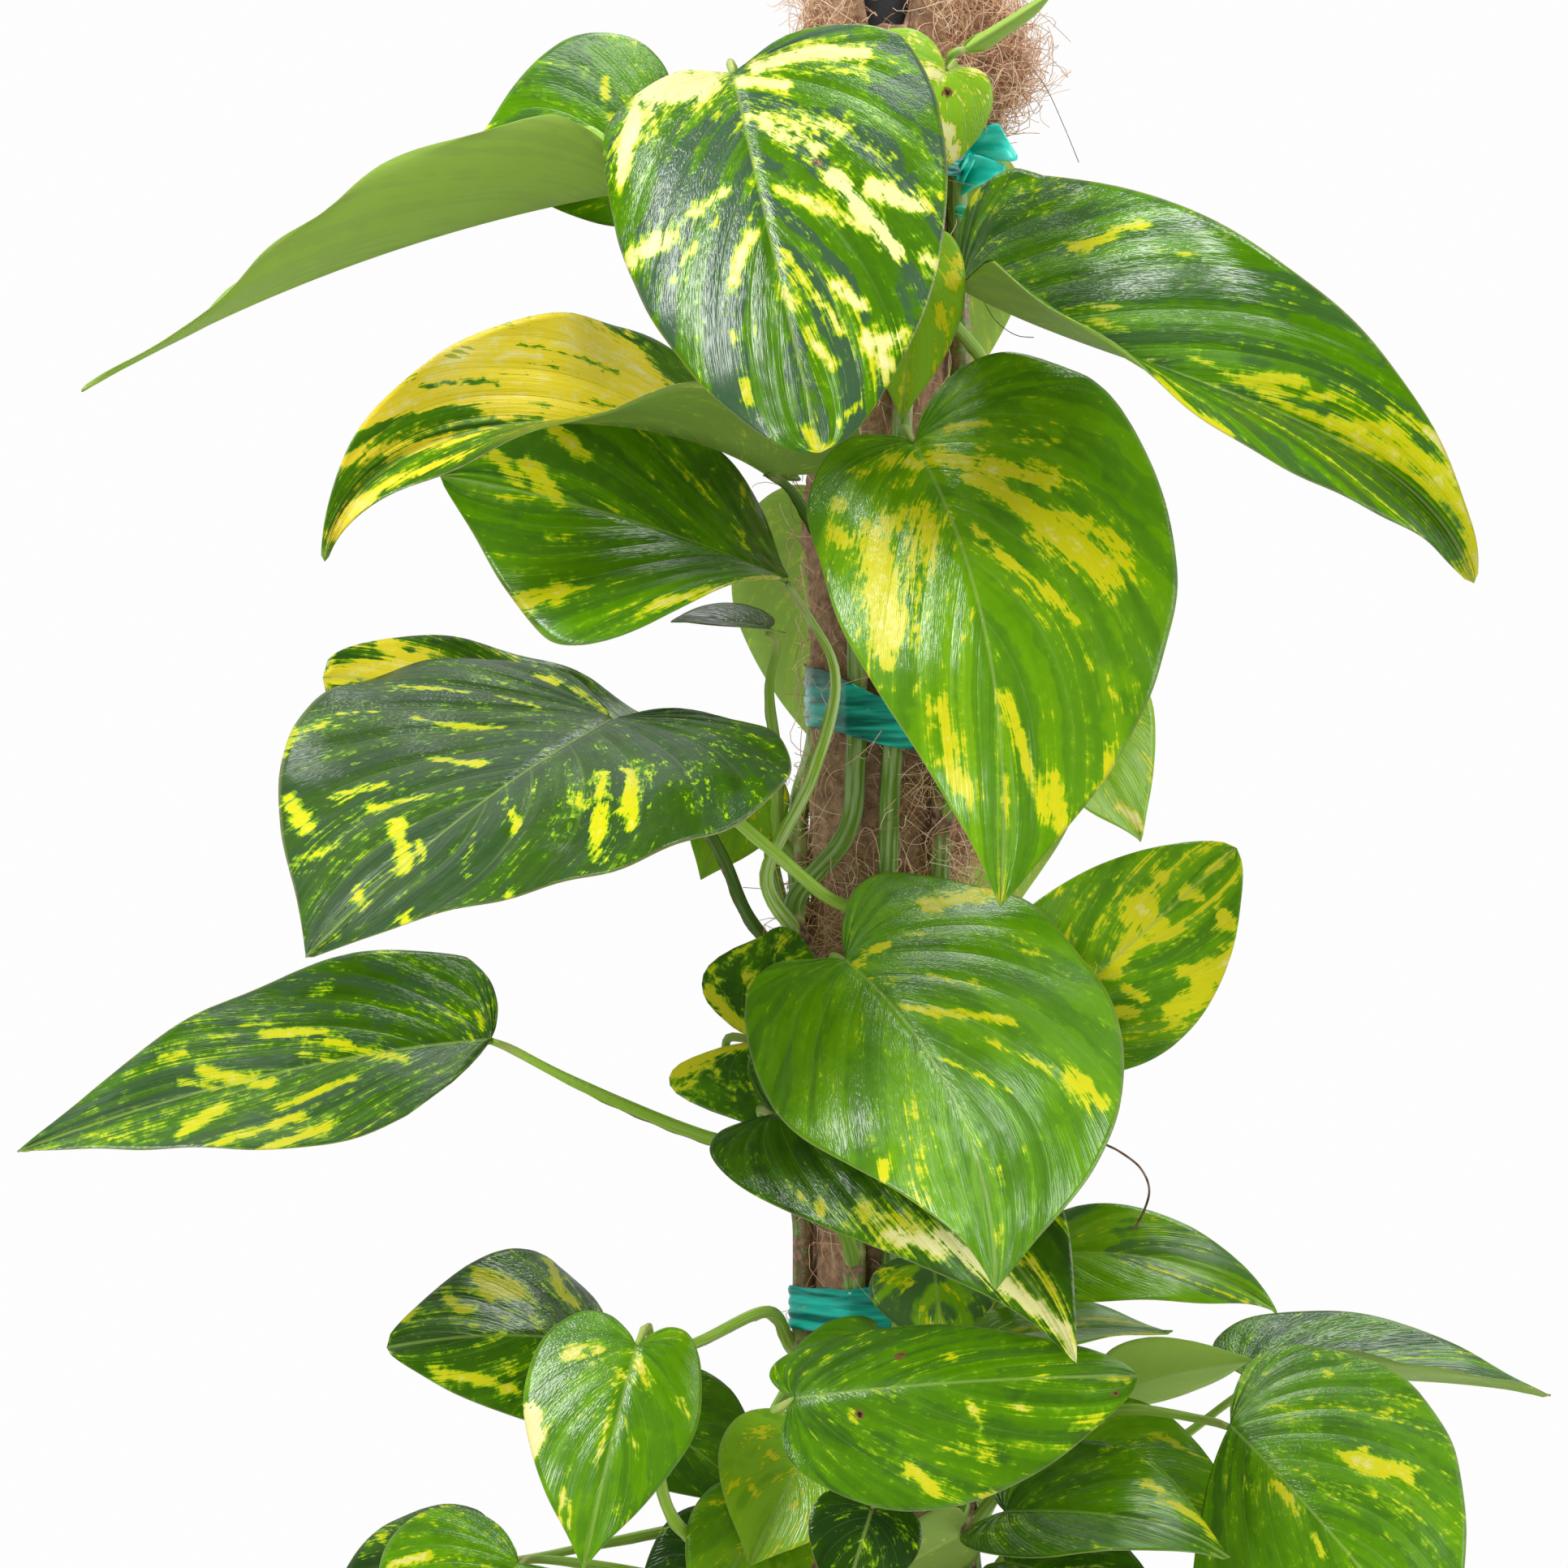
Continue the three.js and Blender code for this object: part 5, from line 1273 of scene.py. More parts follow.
MARKS = {
    # name: streaks of gold as (along, across, along, across, radius, strength, whiteness): two ends in mm on
    # the flat blade, with the side that lies to the left, seen from the heart to the tip, as plus
    "01": [(-8, -38, 0, -15, 9, 0.9, 0.9), (1, -47, 27, -60, 4.8, 0.9, 0.8),
     (7, -40, 18, -45, 4.3, 0.45, 0.4), (13, -9, 19, -12, 1.9, 0.4, 0.2), (1, 11, -1, 36, 3.8, 0.9, 0.8),
     (-1, 36, 6, 57, 4, 0.9, 0.8), (9, 30, 14, 56, 2.5, 0.45, 0.2), (5, 2, 14, 21, 2.7, 0.9, 0.7),
     (26, 6, 44, 41, 5.7, 0.55, 0.5), (33, 10, 51, 28, 5.7, 0.45, 0.6), (41, 29, 62, 59, 2.9, 0.3, 0.4),
     (65, 32, 107, 51, 4, 0.9, 0.9), (66, 9, 95, 42, 2.9, 0.7, 0.5), (75, 47, 86, 64, 4.8, 0.8, 0.8),
     (63, 52, 73, 59, 2.4, 0.35, 0.3), (111, 63, 119, 66, 4.4, 0.7, 0.6), (81, 75, 84, 76, 1.5, 0.6, 0.2),
     (94, 4, 120, 14, 1.9, 0.7, 0.3), (120, 14, 138, 20, 1.9, 0.8, 0.5), (111, -1, 122, 4, 2.3, 0.7, 0.5),
     (117, 23, 130, 32, 2.7, 0.8, 0.7), (136, 6, 152, 13, 2.1, 0.7, 0.5), (134, 39, 144, 45, 2.3, 0.4, 0.3),
     (146, 31, 148, 43, 4.8, 0.9, 0.7), (152, 36, 162, 35, 3.4, 0.9, 0.6), (63, -31, 59, -16, 2.9, 0.7, 0.6),
     (72, -25, 71, -17, 1.3, 0.5, 0.3), (70, -64, 69, -46, 5.3, 0.8, 0.7), (90, -47, 78, -34, 1.9, 0.6, 0.4),
     (101, -20, 82, -7, 2.5, 0.7, 0.6), (148, -25, 157, -26, 1.7, 0.6, 0.1),
     (123, -26, 128, -25, 1.3, 0.5, 0.1), (178, -3, 188, 0, 2.1, 0.9, 0.1), (178, 10, 172, 20, 1.1, 0.6, 0.1),
     (123, -14, 133, -15, 1.3, 0.5, 0.1), (5, -3, 88, 3, 1, 0.25, 0.3)],
    "03": [(20, -31, 22, -21, 1.7, 0.8, 0), (20, -10, 19, -5, 1.5, 0.7, 0)],
    "04": [(35, 40, 52, 52, 2.7, 0.8, 0), (57, 55, 63, 57, 1.6, 0.9, 0), (80, 49, 88, 51, 1, 0.8, 0),
     (47, 12, 66, 20, 1, 0.6, 0.4), (71, 32, 78, 34, 1, 0.4, 0.2), (-20, 37, -20, 44, 2.7, 0.6, 0),
     (118, 52, 131, 52, 1.1, 0.4, 0.1), (124, 7, 146, 16, 2.1, 0.8, 0), (132, 6, 143, 9, 1.5, 0.8, 0),
     (150, 11, 164, 16, 1.1, 0.8, 0), (160, 22, 168, 23, 1.1, 0.5, 0), (149, 5, 168, 7, 1.4, 0.5, 0),
     (164, 5, 192, 17, 3.2, 0.9, 0), (178, 5, 217, 18, 4.1, 0.9, 0), (185, 23, 205, 29, 2.1, 0.8, 0.4),
     (205, 29, 219, 21, 3, 0.8, 0.4), (216, 12, 233, 15, 5, 1, 0), (233, 15, 261, 2, 4.1, 1, 0),
     (113, -67, 128, -66, 3.2, 0.9, 0), (125, -66, 140, -61, 3.9, 0.9, 0), (83, -24, 115, -51, 2.3, 0.4, 0.4),
     (58, 10, 81, 10, 1, 0.35, 0.2), (102, 9, 170, 1, 1, 0.5, 0.2), (170, 1, 223, 9, 1.5, 0.7, 0)],
    "05": [(10, -12, 3, -2, 2.1, 0.6, 0.9), (22, 14, 31, 25, 2.9, 0.5, 0.8)],
    "07": [(3, 20, 12, 17, 3.3, 0.8, 0), (25, 18, 32, 12, 2.4, 0.4, 0), (58, -1, 73, -2, 2.4, 0.4, 0),
     (41, 5, 55, 11, 2.4, 0.3, 0)],
    "08": [(158, -24, 114, -18, 9, 0.9, 0.1), (126, -32, 75, -37, 12, 1, 0.2),
     (104, -13, 50, -22, 10, 0.9, 0.1), (70, -45, 44, -30, 10, 1, 0.2), (90, -4, 52, -6, 5, 0.8, 0.1),
     (157, -21, 94, -13, 4.2, 0.9, 0), (97, -36, 62, -28, 1.2, -0.5, 0), (133, -24, 107, -20, 1.1, -0.5, 0),
     (36, -39, 4, -10, 7, -0.7, 0), (0, 12, 120, 34, 16, -0.3, 0), (0, 40, 110, 52, 12, -0.3, 0),
     (164, -18, 120, -9, 1.6, -0.6, 0), (171, -14, 124, 6, 2.6, 0.6, 0.1), (190, 2, 130, 22, 2.2, 0.7, 0.1),
     (199, 0, 172, 11, 1.9, 0.8, 0)],
    "09": [(143, -15, 129, -4, 2.9, 0.7, 0), (127, -13, 110, -1, 3.5, 0.8, 0),
     (118, -32, 103, -23, 3.2, 0.8, 0), (120, 56, 102, 48, 4.8, 0.8, 0.1), (62, 59, 35, 50, 3.2, 0.8, 0.3),
     (35, 50, 8, 17, 2.2, 0.8, 0.4), (135, 5, 120, 0, 1.6, 0.5, 0), (28, -59, 22, -11, 1, 0.5, 0),
     (74, -40, 70, -27, 1.3, 0.4, 0), (112, 20, 101, 19, 1.6, 0.5, 0)],
    "10": [(35, -37, 81, -41, 9.1, 0.9, 0.1), (28, -39, 31, -13, 6.3, 0.7, 0),
     (38, -9, 65, -31, 7.3, 0.7, 0.1), (21, -49, 28, -46, 4.6, 0.7, 0), (4, -44, 8, -42, 2.7, 0.6, 0),
     (-4, -31, -1, -19, 3.4, 0.5, 0), (0, -14, 12, -3, 3.6, 0.6, 0.3), (89, -46, 97, -45, 2.5, 0.8, 0),
     (14, -6, 17, -19, 3.4, 0.4, 0), (11, 5, 25, 29, 3.6, 0.8, 0.1), (18, 12, 37, 51, 4.1, 0.7, 0.2),
     (25, 17, 53, 39, 4.6, 0.9, 0), (54, 36, 77, 63, 6.4, 1, 0), (49, 45, 70, 71, 3.4, 0.8, 0),
     (47, 7, 70, 22, 2.3, 0.8, 0), (70, 22, 95, 40, 2.1, 0.7, 0), (35, 24, 50, 37, 2.1, 0.5, 0),
     (1, 17, 4, 34, 1.6, 0.5, 0), (18, 46, 23, 58, 1.6, 0.5, 0), (121, -27, 143, -22, 3.9, 0.8, 0),
     (110, -34, 114, -35, 1.8, 0.6, 0), (147, -26, 163, -16, 3.9, 0.7, 0.1), (122, 3, 142, 9, 2.7, 0.9, 0),
     (142, 9, 174, 17, 3, 0.9, 0), (160, 23, 181, 25, 3.2, 0.9, 0), (147, 47, 156, 47, 2.1, 0.8, 0),
     (161, 43, 163, 41, 2.3, 0.7, 0), (158, 1, 175, 1, 1, 0.7, 0), (108, 39, 131, 55, 1, 0.4, 0),
     (96, -10, 83, -3, 1.1, 0.5, 0), (197, 1, 211, -1, 1.6, 0.4, 0.2)],
    "11": [(28, -99, 15, -70, 1.3, 0.8, 0), (64, -102, 53, -92, 1.1, 0.8, 0),
     (91, -108, 76, -101, 2.3, 0.4, 0.1), (49, -74, 33, -36, 1.3, 0.7, 0), (72, -46, 66, -20, 2.1, 0.9, 0),
     (118, -62, 99, -47, 1.9, 0.8, 0), (118, -40, 99, -25, 1.9, 0.8, 0), (131, -74, 143, -55, 3.7, 0.8, 0),
     (105, -99, 86, -110, 2, 0.6, 0), (123, -21, 150, 5, 2.9, 0.9, 0), (129, -5, 141, 7, 1.4, 0.7, 0),
     (117, 16, 144, 32, 1.4, 0.5, 0), (94, 19, 108, 32, 1.4, 0.9, 0), (52, 36, 96, 65, 2.9, 0.9, 0),
     (72, 37, 106, 72, 2.6, 0.4, 0), (43, 43, 83, 74, 2.3, 0.8, 0), (143, 54, 148, 59, 1.9, 0.7, 0),
     (174, 22, 180, 28, 1.9, 0.9, 0), (167, -9, 176, 3, 1.7, 0.8, 0), (157, -42, 148, -35, 2, 0.5, 0),
     (-18, -56, -17, -43, 1.9, 0.8, 0), (-17, -34, -3, -4, 1.7, 0.5, 0), (202, 2, 197, 6, 1.1, 0.4, 0),
     (10, -58, 9, -32, 1, 0.5, 0)],
    "12": [(146, 0, 107, -10, 3.1, 0.9, 0.1), (122, -18, 107, -8, 2.3, 0.8, 0.1)],
    "14": [(97, -23, 72, -17, 2, 0.9, 0), (128, -11, 103, 7, 2.6, 0.8, 0), (139, -8, 124, 1, 1.4, 0.6, 0),
     (71, -11, 43, 9, 2.6, 0.6, 0), (85, -7, 64, 4, 1.4, 0.5, 0), (127, 18, 144, 29, 3.1, 0.9, 0),
     (101, 25, 67, 18, 1.9, 0.7, 0), (131, 45, 96, 35, 2.6, 0.7, 0), (115, 57, 84, 46, 2.9, 0.8, 0),
     (82, -38, 65, -39, 2, 0.5, 0), (144, -23, 133, -22, 1.4, 0.6, 0), (3, -15, 3, -6, 1.4, 0.6, 0),
     (106, -31, 93, -30, 1.7, 0.35, 0), (188, 3, 157, 28, 1.1, 0.3, 0)],
    "15": [(-7, 56, -2, 89, 4.6, 0.9, 0.2), (4, 2, 3, 21, 2.1, 0.8, 0), (14, 0, 37, 44, 1.4, 0.5, 0),
     (36, 5, 58, 44, 1.8, 0.8, 0.2), (61, 26, 84, 50, 1.6, 0.5, 0), (66, 3, 89, 26, 1.3, 0.7, 0),
     (89, 57, 101, 65, 4.6, 0.9, 0), (106, -38, 116, -40, 1.8, 0.9, 0), (83, -19, 134, -26, 4.1, 0.4, 0.1),
     (87, -40, 103, -41, 1.6, 0.4, 0.1), (125, 8, 132, 8, 1.5, 0.8, 0), (105, 4, 120, 12, 2.5, 0.25, 0),
     (29, 78, 34, 83, 1.6, 0.5, 0), (3, 35, 8, 46, 1.6, 0.4, 0), (156, 2, 163, 2, 1.4, 0.5, 0),
     (6, 2, 43, 14, 1, 0.4, 0)],
    "16": [(63, -27, 89, -19, 6.4, 0.55, 0.1), (82, -29, 109, -18, 4.3, 0.8, 0.7),
     (101, -15, 137, -10, 4.6, 0.9, 0.9), (136, -11, 167, 1, 3.4, 0.9, 0.9), (167, 1, 182, 0, 2.3, 0.9, 0.7),
     (40, -33, 45, -37, 2.1, 0.6, 0), (28, -33, 35, -36, 2.1, 0.4, 0), (7, -39, 8, -40, 1.4, 0.5, 0),
     (121, 25, 134, 27, 1.6, 0.7, 0), (131, 1, 138, 5, 2.1, 0.7, 0), (146, 5, 162, 8, 2.7, 0.5, 0.1)],
    "17": [(-23, 19, -5, 4, 3, 0.8, 0), (-4, 26, 2, 11, 2.7, 0.8, 0.4), (-12, 6, -1, 1, 1.6, 0.7, 0),
     (-36, -16, -22, -7, 3, 0.8, 0), (-29, -10, -4, -1, 1.6, 0.8, 0), (-33, -27, -25, -30, 1.4, 0.5, 0)],
    "18": [(29, -16, 34, -6, 2.1, 0.8, 0.3), (31, 2, 32, 4, 1.6, 0.6, 0.1), (2, -23, 7, -12, 2.7, 0.45, 0.1),
     (9, 2, 19, 12, 1.6, 0.4, 0.1), (15, -10, 30, -4, 1.6, 0.3, 0.1)],
    "19": [(73, 10, 74, -1, 4.6, 0.9, 0), (43, -4, 64, 1, 3, 0.8, 0), (52, -34, 72, -42, 3.4, 0.9, 0),
     (71, -34, 88, -35, 4.3, 0.8, 0), (68, -24, 71, -31, 2.1, 0.7, 0), (99, -17, 98, -23, 2.7, 0.9, 0),
     (93, 2, 96, -5, 2.1, 0.8, 0), (34, -18, 39, -23, 2.3, 0.9, 0), (44, -13, 48, -24, 1.6, 0.7, 0),
     (48, 42, 53, 40, 1.6, 0.6, 0), (89, 19, 90, 13, 1.6, 0.6, 0), (73, -8, 83, -15, 2.1, 0.5, 0),
     (108, 2, 118, -2, 1.4, 0.6, 0), (48, -43, 59, -46, 1.6, 0.4, 0.1), (93, -32, 79, -39, 1.8, 0.8, 0)],
    "20": [(63, -1, 74, 4, 2.3, 0.8, 0.5)],
    "22": [(19, 4, 50, 3, 1.7, 0.8, 0), (49, 10, 80, 3, 1.2, 0.6, 0), (65, -14, 83, -4, 1.6, 0.7, 0),
     (60, -20, 71, -12, 1, 0.6, 0)],
    "23": [(70, -27, 86, -34, 2.9, 0.5, 0), (50, -36, 61, -47, 2.2, 0.7, 0.1),
     (77, -9, 82, -20, 1.6, 0.6, 0.4), (81, -51, 86, -49, 1.6, 0.8, 0.1), (122, -21, 134, -19, 2.4, 0.6, 0.1),
     (69, 15, 71, 14, 1.6, 0.8, 0.1), (108, 1, 111, 0, 1.6, 0.6, 0.1), (95, -11, 102, -13, 1.6, 0.5, 0.4),
     (26, -9, 27, -11, 1.9, 0.7, 0.1), (136, -1, 148, -2, 1.2, 0.5, 0.1)],
    "24": [(37, -40, 48, -35, 5, 1, 1), (52, -37, 55, -35, 3.4, 0.9, 0.9), (10, -30, 5, -16, 3.4, 0.8, 0.4),
     (13, -6, 15, -2, 2.3, 0.5, 0.2), (8, 2, 17, 10, 3.4, 0.7, 0.3), (34, 3, 46, 12, 2.1, 0.6, 0.4),
     (19, 23, 25, 27, 2.3, 0.7, 0.2), (72, 9, 77, 12, 3.2, 0.6, 0.4), (70, -16, 78, -11, 2.1, 0.6, 0.4),
     (20, -4, 57, -4, 1.1, 0.6, 0.4), (46, -20, 35, -15, 1.4, 0.4, 0.3), (81, -15, 82, -14, 1.6, 0.6, 0.2)],
    "25": [(55, -38, 36, -33, 3.9, 0.8, 0), (52, -28, 39, -28, 3.2, 0.7, 0), (10, -58, 12, -37, 2.3, 0.8, 0),
     (13, -34, 5, -27, 2.1, 0.8, 0), (70, -27, 62, -18, 2.5, 0.7, 0), (89, -15, 85, -20, 1.6, 0.5, 0),
     (46, 13, 42, 20, 1.6, 0.6, 0), (79, 13, 42, 25, 1.8, 0.6, 0)],
    "27": [(8, -23, 17, -14, 3.4, 0.3, 0), (33, -23, 31, -12, 2.7, 0.5, 0)],
    "28": [(35, -46, 24, -35, 2.3, 0.9, 0.4)],
    "29": [(37, -39, 36, -36, 2.1, 0.5, 0)],
    "30": [(9, 3, 14, 10, 2.3, 0.5, 0)],
    "33": [(56, 23, 93, 8, 2.4, 0.5, 0), (23, 5, 28, 17, 1.2, 0.3, 0), (-7, -23, 14, -25, 1, 0.4, 0)],
    "34": [(30, 26, 59, 23, 1.7, 0.6, 0.1)],
    "35": [(44, 35, 60, 52, 3.6, 0.9, 0), (42, 43, 44, 47, 1.3, 0.8, 0), (59, 58, 70, 71, 1.2, 0.4, 0),
     (35, -3, 50, -5, 1.7, 0.6, 0), (21, -11, 29, -18, 1, 0.5, 0), (62, -6, 71, -9, 1.7, 0.7, 0),
     (52, 9, 63, 31, 1.4, 0.3, 0)],
}


def smooth(values, place):
    """A Catmull-Rom curve through values at whole numbers, at each place."""
    values = np.array([2 * values[0] - values[1], *values, 2 * values[-1] - values[-2]], dtype=float)
    i = np.minimum(place.astype(int), len(values) - 4)
    share = place - i
    p0, p1, p2, p3 = (values[i + k] for k in range(4))
    return p1 + 0.5 * share * (
        p2 - p0 + share * (2 * p0 - 5 * p1 + 4 * p2 - p3 + share * (3 * (p1 - p2) + p3 - p0))
    )


def turned_about(vectors, axes, angles):
    """Vectors turned about unit axes by angles."""
    cos, sin = np.cos(angles)[:, None], np.sin(angles)[:, None]
    along_axis = (vectors * axes).sum(axis=1)[:, None]
    return vectors * cos + np.cross(axes, vectors) * sin + axes * along_axis * (1 - cos)


def unit(vectors):
    return vectors / np.linalg.norm(vectors, axis=1)[:, None]


def blade_sheet(leaf, form, side, place, reach):
    """One half's middle surface at outline places and reaches: places, normals, u, width and length."""
    half = 0 if side > 0 else 1
    length, up, _, bezier = leaf_frame(seen(*leaf[2]), seen(*leaf[3]), leaf[4], form)
    edge_u = smooth([u for u, _ in OUTLINE], place)
    edge_v = np.clip(smooth([v for _, v in OUTLINE], place), 0, None)
    origin = np.clip(smooth(ORIGIN, place), 0, 1)
    edge_u = np.where(edge_u < 0, edge_u * form["lobes"][half], edge_u)
    edge_v = np.where(edge_u > WIDEST, edge_v ** form["full"], edge_v)
    edge_u = edge_u + form["rake"][half] * edge_v * (1 - np.maximum(edge_u, 0))
    u = origin + (edge_u - origin) * (reach - VEIN_BOW * reach * (1 - reach))
    v = edge_v * reach
    at = np.clip(u, 0, 1)[:, None]
    b0, b1, b2, b3 = (np.array(p) for p in bezier)
    middle = b0 * (1 - at) ** 3 + 3 * b1 * at * (1 - at) ** 2 + 3 * b2 * at**2 * (1 - at) + b3 * at**3
    ahead = unit((b1 - b0) * (1 - at) ** 2 + 2 * (b2 - b1) * at * (1 - at) + (b3 - b2) * at**2)
    at = at[:, 0]
    left = unit(np.cross(np.array(up), ahead))
    left = turned_about(left, ahead, np.radians(form["twist"]) * at)
    above = np.cross(ahead, left)
    inner, outer = (math.radians(degrees) * (1 - form["flatten"] * at) for degrees in leaf[6 + half])
    angle = inner + (outer - inner) * v
    mean = inner + (outer - inner) * v / 2
    width = leaf[5][half] / 1000 * v
    places = (
        middle
        + ahead * (np.minimum(u, 0) * length)[:, None]
        + left * (side * width * np.cos(mean))[:, None]
        + above * (width * np.sin(mean))[:, None]
    )
    normals = above * np.cos(angle)[:, None] - left * (side * np.sin(angle))[:, None]
    return places, normals, u, width, length


BLADE_MARKS = ("gold", "cream", "scar", "reach", "lime", "ribbing", "leaf_seed", "warmth", "grey_and_sheen")


def leaf_piece(name, leaf, look, streaks, number, materials):
    """One blade as a closed mesh with its veins in relief, its UV maps and its marking attributes."""
    form = {**FORM, **leaf[8]}
    lime, gold, cream, ribs, scars = look
    size = (seen(*leaf[3]) - seen(*leaf[2])).length
    scale = min(1, size / 0.12)
    rows = int(np.clip(size * 600, 34, 116))
    fine = int(np.clip(max(leaf[5]) * 0.42, 9, 44))
    swell = waves(100 + number, (0.05, 0.1), 10)
    flutter = waves(200 + number, (0.035, 0.07), 10)
    crinkle = waves(300 + number, (0.004, 0.011), 24)
    points, values, uv_blade, uv_ribs, uv_plane, faces, kinds = [], [], [], [], [], [], []
    count = 0
    for side in (1, -1):
        rims = []
        for under, columns in ((0, fine), (1, max(6, fine // 4))):
            place = np.repeat(np.linspace(0, 10, rows + 1), columns + 1)
            reach = np.tile(np.linspace(0, 1, columns + 1) ** 1.1, rows + 1)
            places, normals, u, width, length = blade_sheet(leaf, form, side, place, reach)
            on_midrib = (reach == 0) | (place == 0) | (place == 10)
            shared = unit(normals + blade_sheet(leaf, form, -side, place, reach)[1])
            normals = np.where(on_midrib[:, None], shared, normals)
            line = (place - VEIN_SWEEP * reach) / 10
            ridge = (1 - bell(reach, 0.25)) * (1 - reach**4)
            relief = (SWELL * swell(places) * reach + FLUTTER * flutter(places) * reach**3) * scale
            relief -= MIDRIB_SINK * bell(width, 0.0022) * (1 - np.clip(u, 0, 1) * 0.7) * scale
            half_thick = HALF_THICKNESS - EDGE_THINNING * reach**2
            furrow = bell(line * SIDE_VEINS % 1 - 0.5, 0.16)
            if under:
                keel = KEEL * bell(width, 0.0016) * (1 - np.clip(u, 0, 1))
                rise = (UNDER_RIB + UNDER_FURROW * furrow) * ribs * ridge * scale
                offset = relief - rise - half_thick - keel
            else:
                offset = relief - FURROW * ribs * (furrow - 0.35) * ridge * scale + half_thick
                offset = offset + CRINKLE * crinkle(places) * (reach > 0)
            edge_offset = half_thick * (1 - 2 * under)
            offset = np.where(on_midrib & (reach > 0), edge_offset, offset)
            points.append(places + normals * offset[:, None])
            along_mm, across_mm = u * length * 1000, width * side * 1000
            bias = np.full(len(place), gold)
            pale = np.full(len(place), cream)
            for x0, y0, x1, y1, radius, strength, whiteness in streaks:
                run_x, run_y = x1 - x0, y1 - y0
                share = ((along_mm - x0) * run_x + (across_mm - y0) * run_y) / max(run_x**2 + run_y**2, 1)
                share = np.clip(share, 0, 1)
                off = np.hypot(along_mm - x0 - share * run_x, across_mm - y0 - share * run_y)
                near = bell(off, max(STREAK_SPREAD * radius, STREAK_LEAST))
                drawn = gold + STREAK_GOLD * strength * near
                bias = np.maximum(bias, drawn) if strength > 0 else bias + strength * near
                pale = np.maximum(pale, whiteness * near)
            hurt = np.zeros(len(place))
            for x, y, radius in scars:
                hurt = np.maximum(hurt, 1 - np.hypot(along_mm - x, across_mm - y) / radius / 1.6)
            values.append(np.stack([bias, pale, hurt, reach], axis=1))
            uv_blade.append(np.stack([line * size * 1.7, across_mm / 1000], axis=1))
            uv_ribs.append(np.stack([line * SIDE_VEINS, reach], axis=1))
            uv_plane.append(np.stack([u * length, width * side], axis=1))
            grid = np.arange(len(place)).reshape(rows + 1, columns + 1) + count
            count += len(place)
            quads = [g.ravel() for g in (grid[:-1, :-1], grid[1:, :-1], grid[1:, 1:], grid[:-1, 1:])]
            quads = np.stack(quads, axis=1)
            faces += list(quads if (side > 0) != bool(under) else quads[:, ::-1])
            kinds += [under] * len(quads)
            rims.append(grid[:, -1])
        up, low = rims
        rim_quads = np.stack([up[:-1], up[1:], low[1:], low[:-1]], axis=1)
        faces += list(rim_quads if side > 0 else rim_quads[:, ::-1])
        kinds += [0] * len(rim_quads)
    piece = new_piece(f"blade_{name}", np.concatenate(points), faces, materials)
    data = piece.data
    data.polygons.foreach_set("material_index", kinds)
    marks = dict(zip(BLADE_MARKS, np.concatenate(values).T))
    for label, value in zip(
        BLADE_MARKS[4:], (lime, ribs, number * 0.37, WARM.get(name, 0), GREY_SECTORS_AND_SHEEN.get(name, 0.1))
    ):
        marks[label] = np.full(count, value)
    for label, column in marks.items():
        data.attributes.new(label, "FLOAT", "POINT").data.foreach_set("value", column)
    corners = np.zeros(len(data.loops), dtype=int)
    data.loops.foreach_get("vertex_index", corners)
    for label, table in (("blade", uv_blade), ("ribs", uv_ribs), ("plane", uv_plane)):
        data.uv_layers.new(name=label).data.foreach_set("uv", np.concatenate(table)[corners].ravel())
    with opened(data) as shape:
        bmesh.ops.remove_doubles(shape, verts=shape.verts, dist=1e-6)
        bmesh.ops.dissolve_degenerate(shape, edges=shape.edges, dist=1e-7)
    return piece


# Variegation: colour of a blade from its own UV maps and marks, and a height for its fine relief.
variegation, entry, result = new_group(
    "variegation",
    {"Half Green": (0.22, 0.44, 0.004, 1)},
    {"Color": "Color", "Height": "Float", "Gold": "Float"},
)
marks = {name: attribute(variegation, name) for name in BLADE_MARKS}
maps = [put(variegation, "ShaderNodeUVMap", uv_map=name) for name in ("blade", "ribs", "plane")]
flat, rib, plane = (put(variegation, "ShaderNodeSeparateXYZ", {0: uv}).outputs for uv in maps)


def times(first, second):
    return combined(variegation, "MULTIPLY", first, second)


def plus(first, second):
    return combined(variegation, "ADD", first, second)


def minus(first, second):
    return combined(variegation, "SUBTRACT", first, second)


def streaky(across, out, roughness, shift):
    """Noise drawn out along the side veins: how often it changes across them and along them, in 1/m."""
    kind = plus(times(marks["leaf_seed"], 11.0), shift)
    drawn = {0: times(flat[0], across), 1: times(flat[1], out), 2: kind}
    place = put(variegation, "ShaderNodeCombineXYZ", drawn)
    return noise(variegation, place, 1.0, 2.0, Roughness=roughness, Distortion=0.25)


def blotchy(often, roughness):
    """Noise even in all directions over the flat blade, changing so often a metre."""
    place = put(variegation, "ShaderNodeCombineXYZ", {0: plane[0], 1: plane[1], 2: marks["leaf_seed"]})
    return noise(variegation, place, often, 3.0, Roughness=roughness, Distortion=0.3)


def painted_on(ground, share, colour):
    return mixed(variegation, share, ground, (*colour, 1))


broad = streaky(62.0, 34.0, 0.5, 0.0)
narrow = streaky(240.0, 120.0, 0.6, 5.0)
sector = plus(times(streaky(46.0, 15.0, 0.5, 13.0), 0.7), times(blotchy(60.0, 0.5), 0.3))
flecks = blotchy(170.0, 0.65)
specks = streaky(640.0, 360.0, 0.6, 9.0)
weave = plus(times(broad, 0.32), plus(times(narrow, 0.32), times(flecks, 0.36)))
ink = plus(weave, times(minus(marks["gold"], 0.5), 0.5))
inked = plus(ink, times(minus(specks, 0.5), 0.26))
yellow = ranged(variegation, inked, 0.493, 0.514)
half_green = ranged(variegation, inked, 0.44, 0.485)
rich = ranged(variegation, inked, 0.512, 0.545)
milky = plus(plus(inked, times(minus(flecks, 0.5), 0.5)), times(marks["cream"], 0.6))
milky = ranged(variegation, milky, 0.72, 1.0)

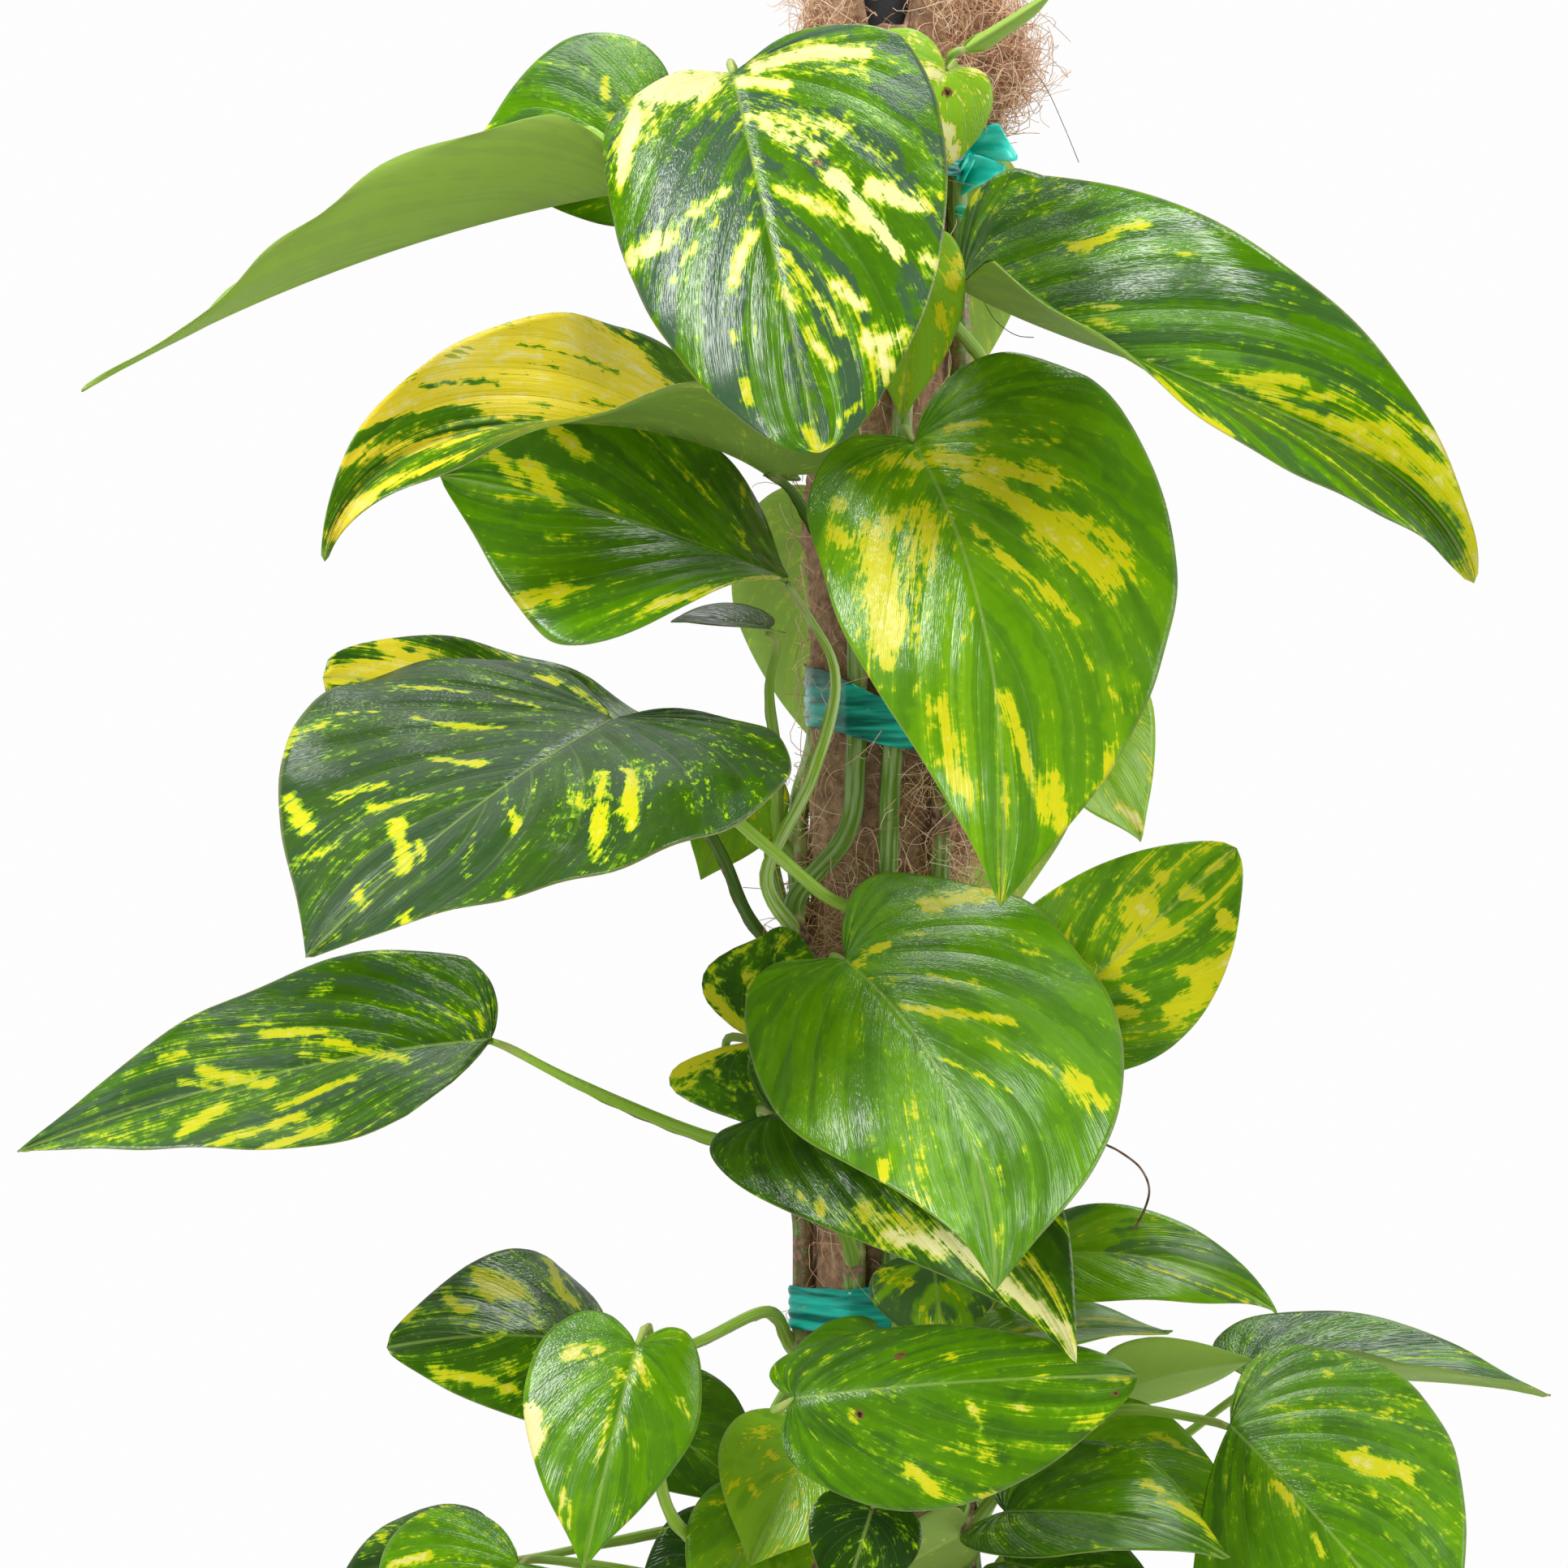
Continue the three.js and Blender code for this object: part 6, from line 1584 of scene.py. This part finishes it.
tone = plus(marks["lime"], times(minus(broad, 0.5), 0.55))
tone = plus(tone, times(minus(flecks, 0.5), 0.2))
tone = plus(tone, ranged(variegation, sector, 0.465, 0.505, -0.06, 0.06))
GREENS = [(0, (0.014, 0.048, 0.003)), (0.2, (0.03, 0.09, 0.003)), (0.4, (0.058, 0.175, 0.002)),
          (0.6, (0.10, 0.28, 0.001)), (0.8, (0.16, 0.38, 0.003)), (1, (0.26, 0.50, 0.02))]
# Painted sheen in part: bluish grey-green laid in sectors over the green stands for the leaves' own
# grey-green tissue and for the bluish reflection that some of them show.
grey_and_sheen_share = times(ranged(variegation, sector, 0.512, 0.478), marks["grey_and_sheen"])
grey_and_sheen_painted = painted_on(graded(variegation, tone, GREENS), grey_and_sheen_share, (0.05, 0.115, 0.048))
lit = mixed(variegation, times(half_green, 0.8), grey_and_sheen_painted, entry["Half Green"])
lemon = mixed(variegation, rich, (0.46, 0.58, 0.003, 1), (0.66, 0.64, 0.004, 1))
warm_gold = painted_on(lemon, marks["warmth"], (0.84, 0.67, 0.024))
gold_colour = painted_on(warm_gold, milky, (0.84, 0.80, 0.34))
painted = mixed(variegation, yellow, lit, gold_colour)

between_veins = minus(combined(variegation, "FRACT", rib[0]), 0.5)
vein_wave = combined(variegation, "ABSOLUTE", between_veins)
vein = times(ranged(variegation, vein_wave, 0.05, 0.0), ranged(variegation, marks["reach"], 0.95, 0.5))
veined = painted_on(painted, times(vein, 0.2), (0.25, 0.42, 0.08))
midrib = ranged(variegation, combined(variegation, "ABSOLUTE", flat[1]), 0.0011, 0.0004)
ribbed = painted_on(veined, times(midrib, 0.45), (0.34, 0.48, 0.1))
edge = ranged(variegation, marks["reach"], 0.985, 1.0)
edged = painted_on(ribbed, times(edge, 0.4), (0.42, 0.42, 0.14))
rough_scar = plus(marks["scar"], times(minus(specks, 0.5), 0.8))
scarred = painted_on(edged, ranged(variegation, rough_scar, 0.34, 0.5), (0.2, 0.11, 0.03))
scarred = painted_on(scarred, ranged(variegation, rough_scar, 0.6, 0.75), (0.02, 0.012, 0.008))
fine_veins = put(
    variegation, "ShaderNodeTexVoronoi", {"Vector": maps[0], "Scale": 520.0}, feature="DISTANCE_TO_EDGE"
)
cells = ranged(variegation, fine_veins, 0.0, 0.25)
pleats = combined(variegation, "SINE", times(rib[0], 2 * math.pi * 5))
height = plus(times(cells, 0.16), times(flecks, 0.22))
height = plus(height, times(times(pleats, marks["ribbing"]), 0.08))
height = minus(height, times(vein, 0.5))
variegation.links.new(scarred, result["Color"])
variegation.links.new(height.outputs[0], result["Height"])
variegation.links.new(yellow.outputs[0], result["Gold"])

leaf_upper, tree, shader = new_material("leaf_upper", Specular_IOR_Level=0.33)
dye = put(tree, "ShaderNodeGroup", node_tree=variegation).outputs
tree.links.new(dye["Color"], shader.inputs["Base Color"])
tree.links.new(ranged(tree, dye["Gold"], 0.0, 1.0, 0.2, 0.3).outputs[0], shader.inputs["Roughness"])
bumped(tree, shader, dye["Height"], 0.5, 0.0006)

leaf_under, tree, shader = new_material("leaf_under", Roughness=0.55, Specular_IOR_Level=0.25)
dye = put(tree, "ShaderNodeGroup", node_tree=variegation).outputs
tree.links.new(mixed(tree, 0.62, dye["Color"], (0.40, 0.58, 0.11, 1)), shader.inputs["Base Color"])
bumped(tree, shader, dye["Height"], 0.35, 0.0004, invert=True)

for number, (name, leaf) in enumerate(LEAVES.items(), start=1):
    piece = leaf_piece(name, leaf, LOOKS[name], MARKS.get(name, ()), number, [leaf_upper, leaf_under])
    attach(piece, "root")
    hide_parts(f"leaf_{name}")

# Loose roots. Thin brown aerial roots and coir hairs stand away from the stems and the pole. They are tubes
# of the stems' bark, drawn along a few places each.
ROOTS = [
    # places as across, height and depth in mm on the plan, and radius in mm
    ([(106, 508, -60), (112, 505, -66), (122, 497, -70), (126, 487, -70), (122, 474, -68),
      (117, 466, -66)], 0.6),
    ([(44, 330, -62), (43, 322, -66), (44, 310, -68), (43, 296, -66)], 0.9),
    ([(66, 1018, 0), (77, 1004, -4), (86, 985, -8), (93, 968, -10)], 0.2),
    ([(47, 905, -45), (55, 893, -50), (64, 887, -52), (72, 886, -54)], 0.2),
]
ROOT_SIDES = 6
ROOT_STEPS = 40
growth = Growth()
for places, radius in ROOTS:
    route, length = evenly([seen(*p) for p in places], ROOT_STEPS)
    body, faces = tube(route, np.full((len(route), ROOT_SIDES), radius / 1000), ROOT_SIDES)
    growth.add(body, faces, marks_for(len(route), ROOT_SIDES, length, 0, 0, 1, 0))
roots = growth.piece("aerial_roots", stem_skin)
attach(roots, "root")
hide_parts("stem_right")

low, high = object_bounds()
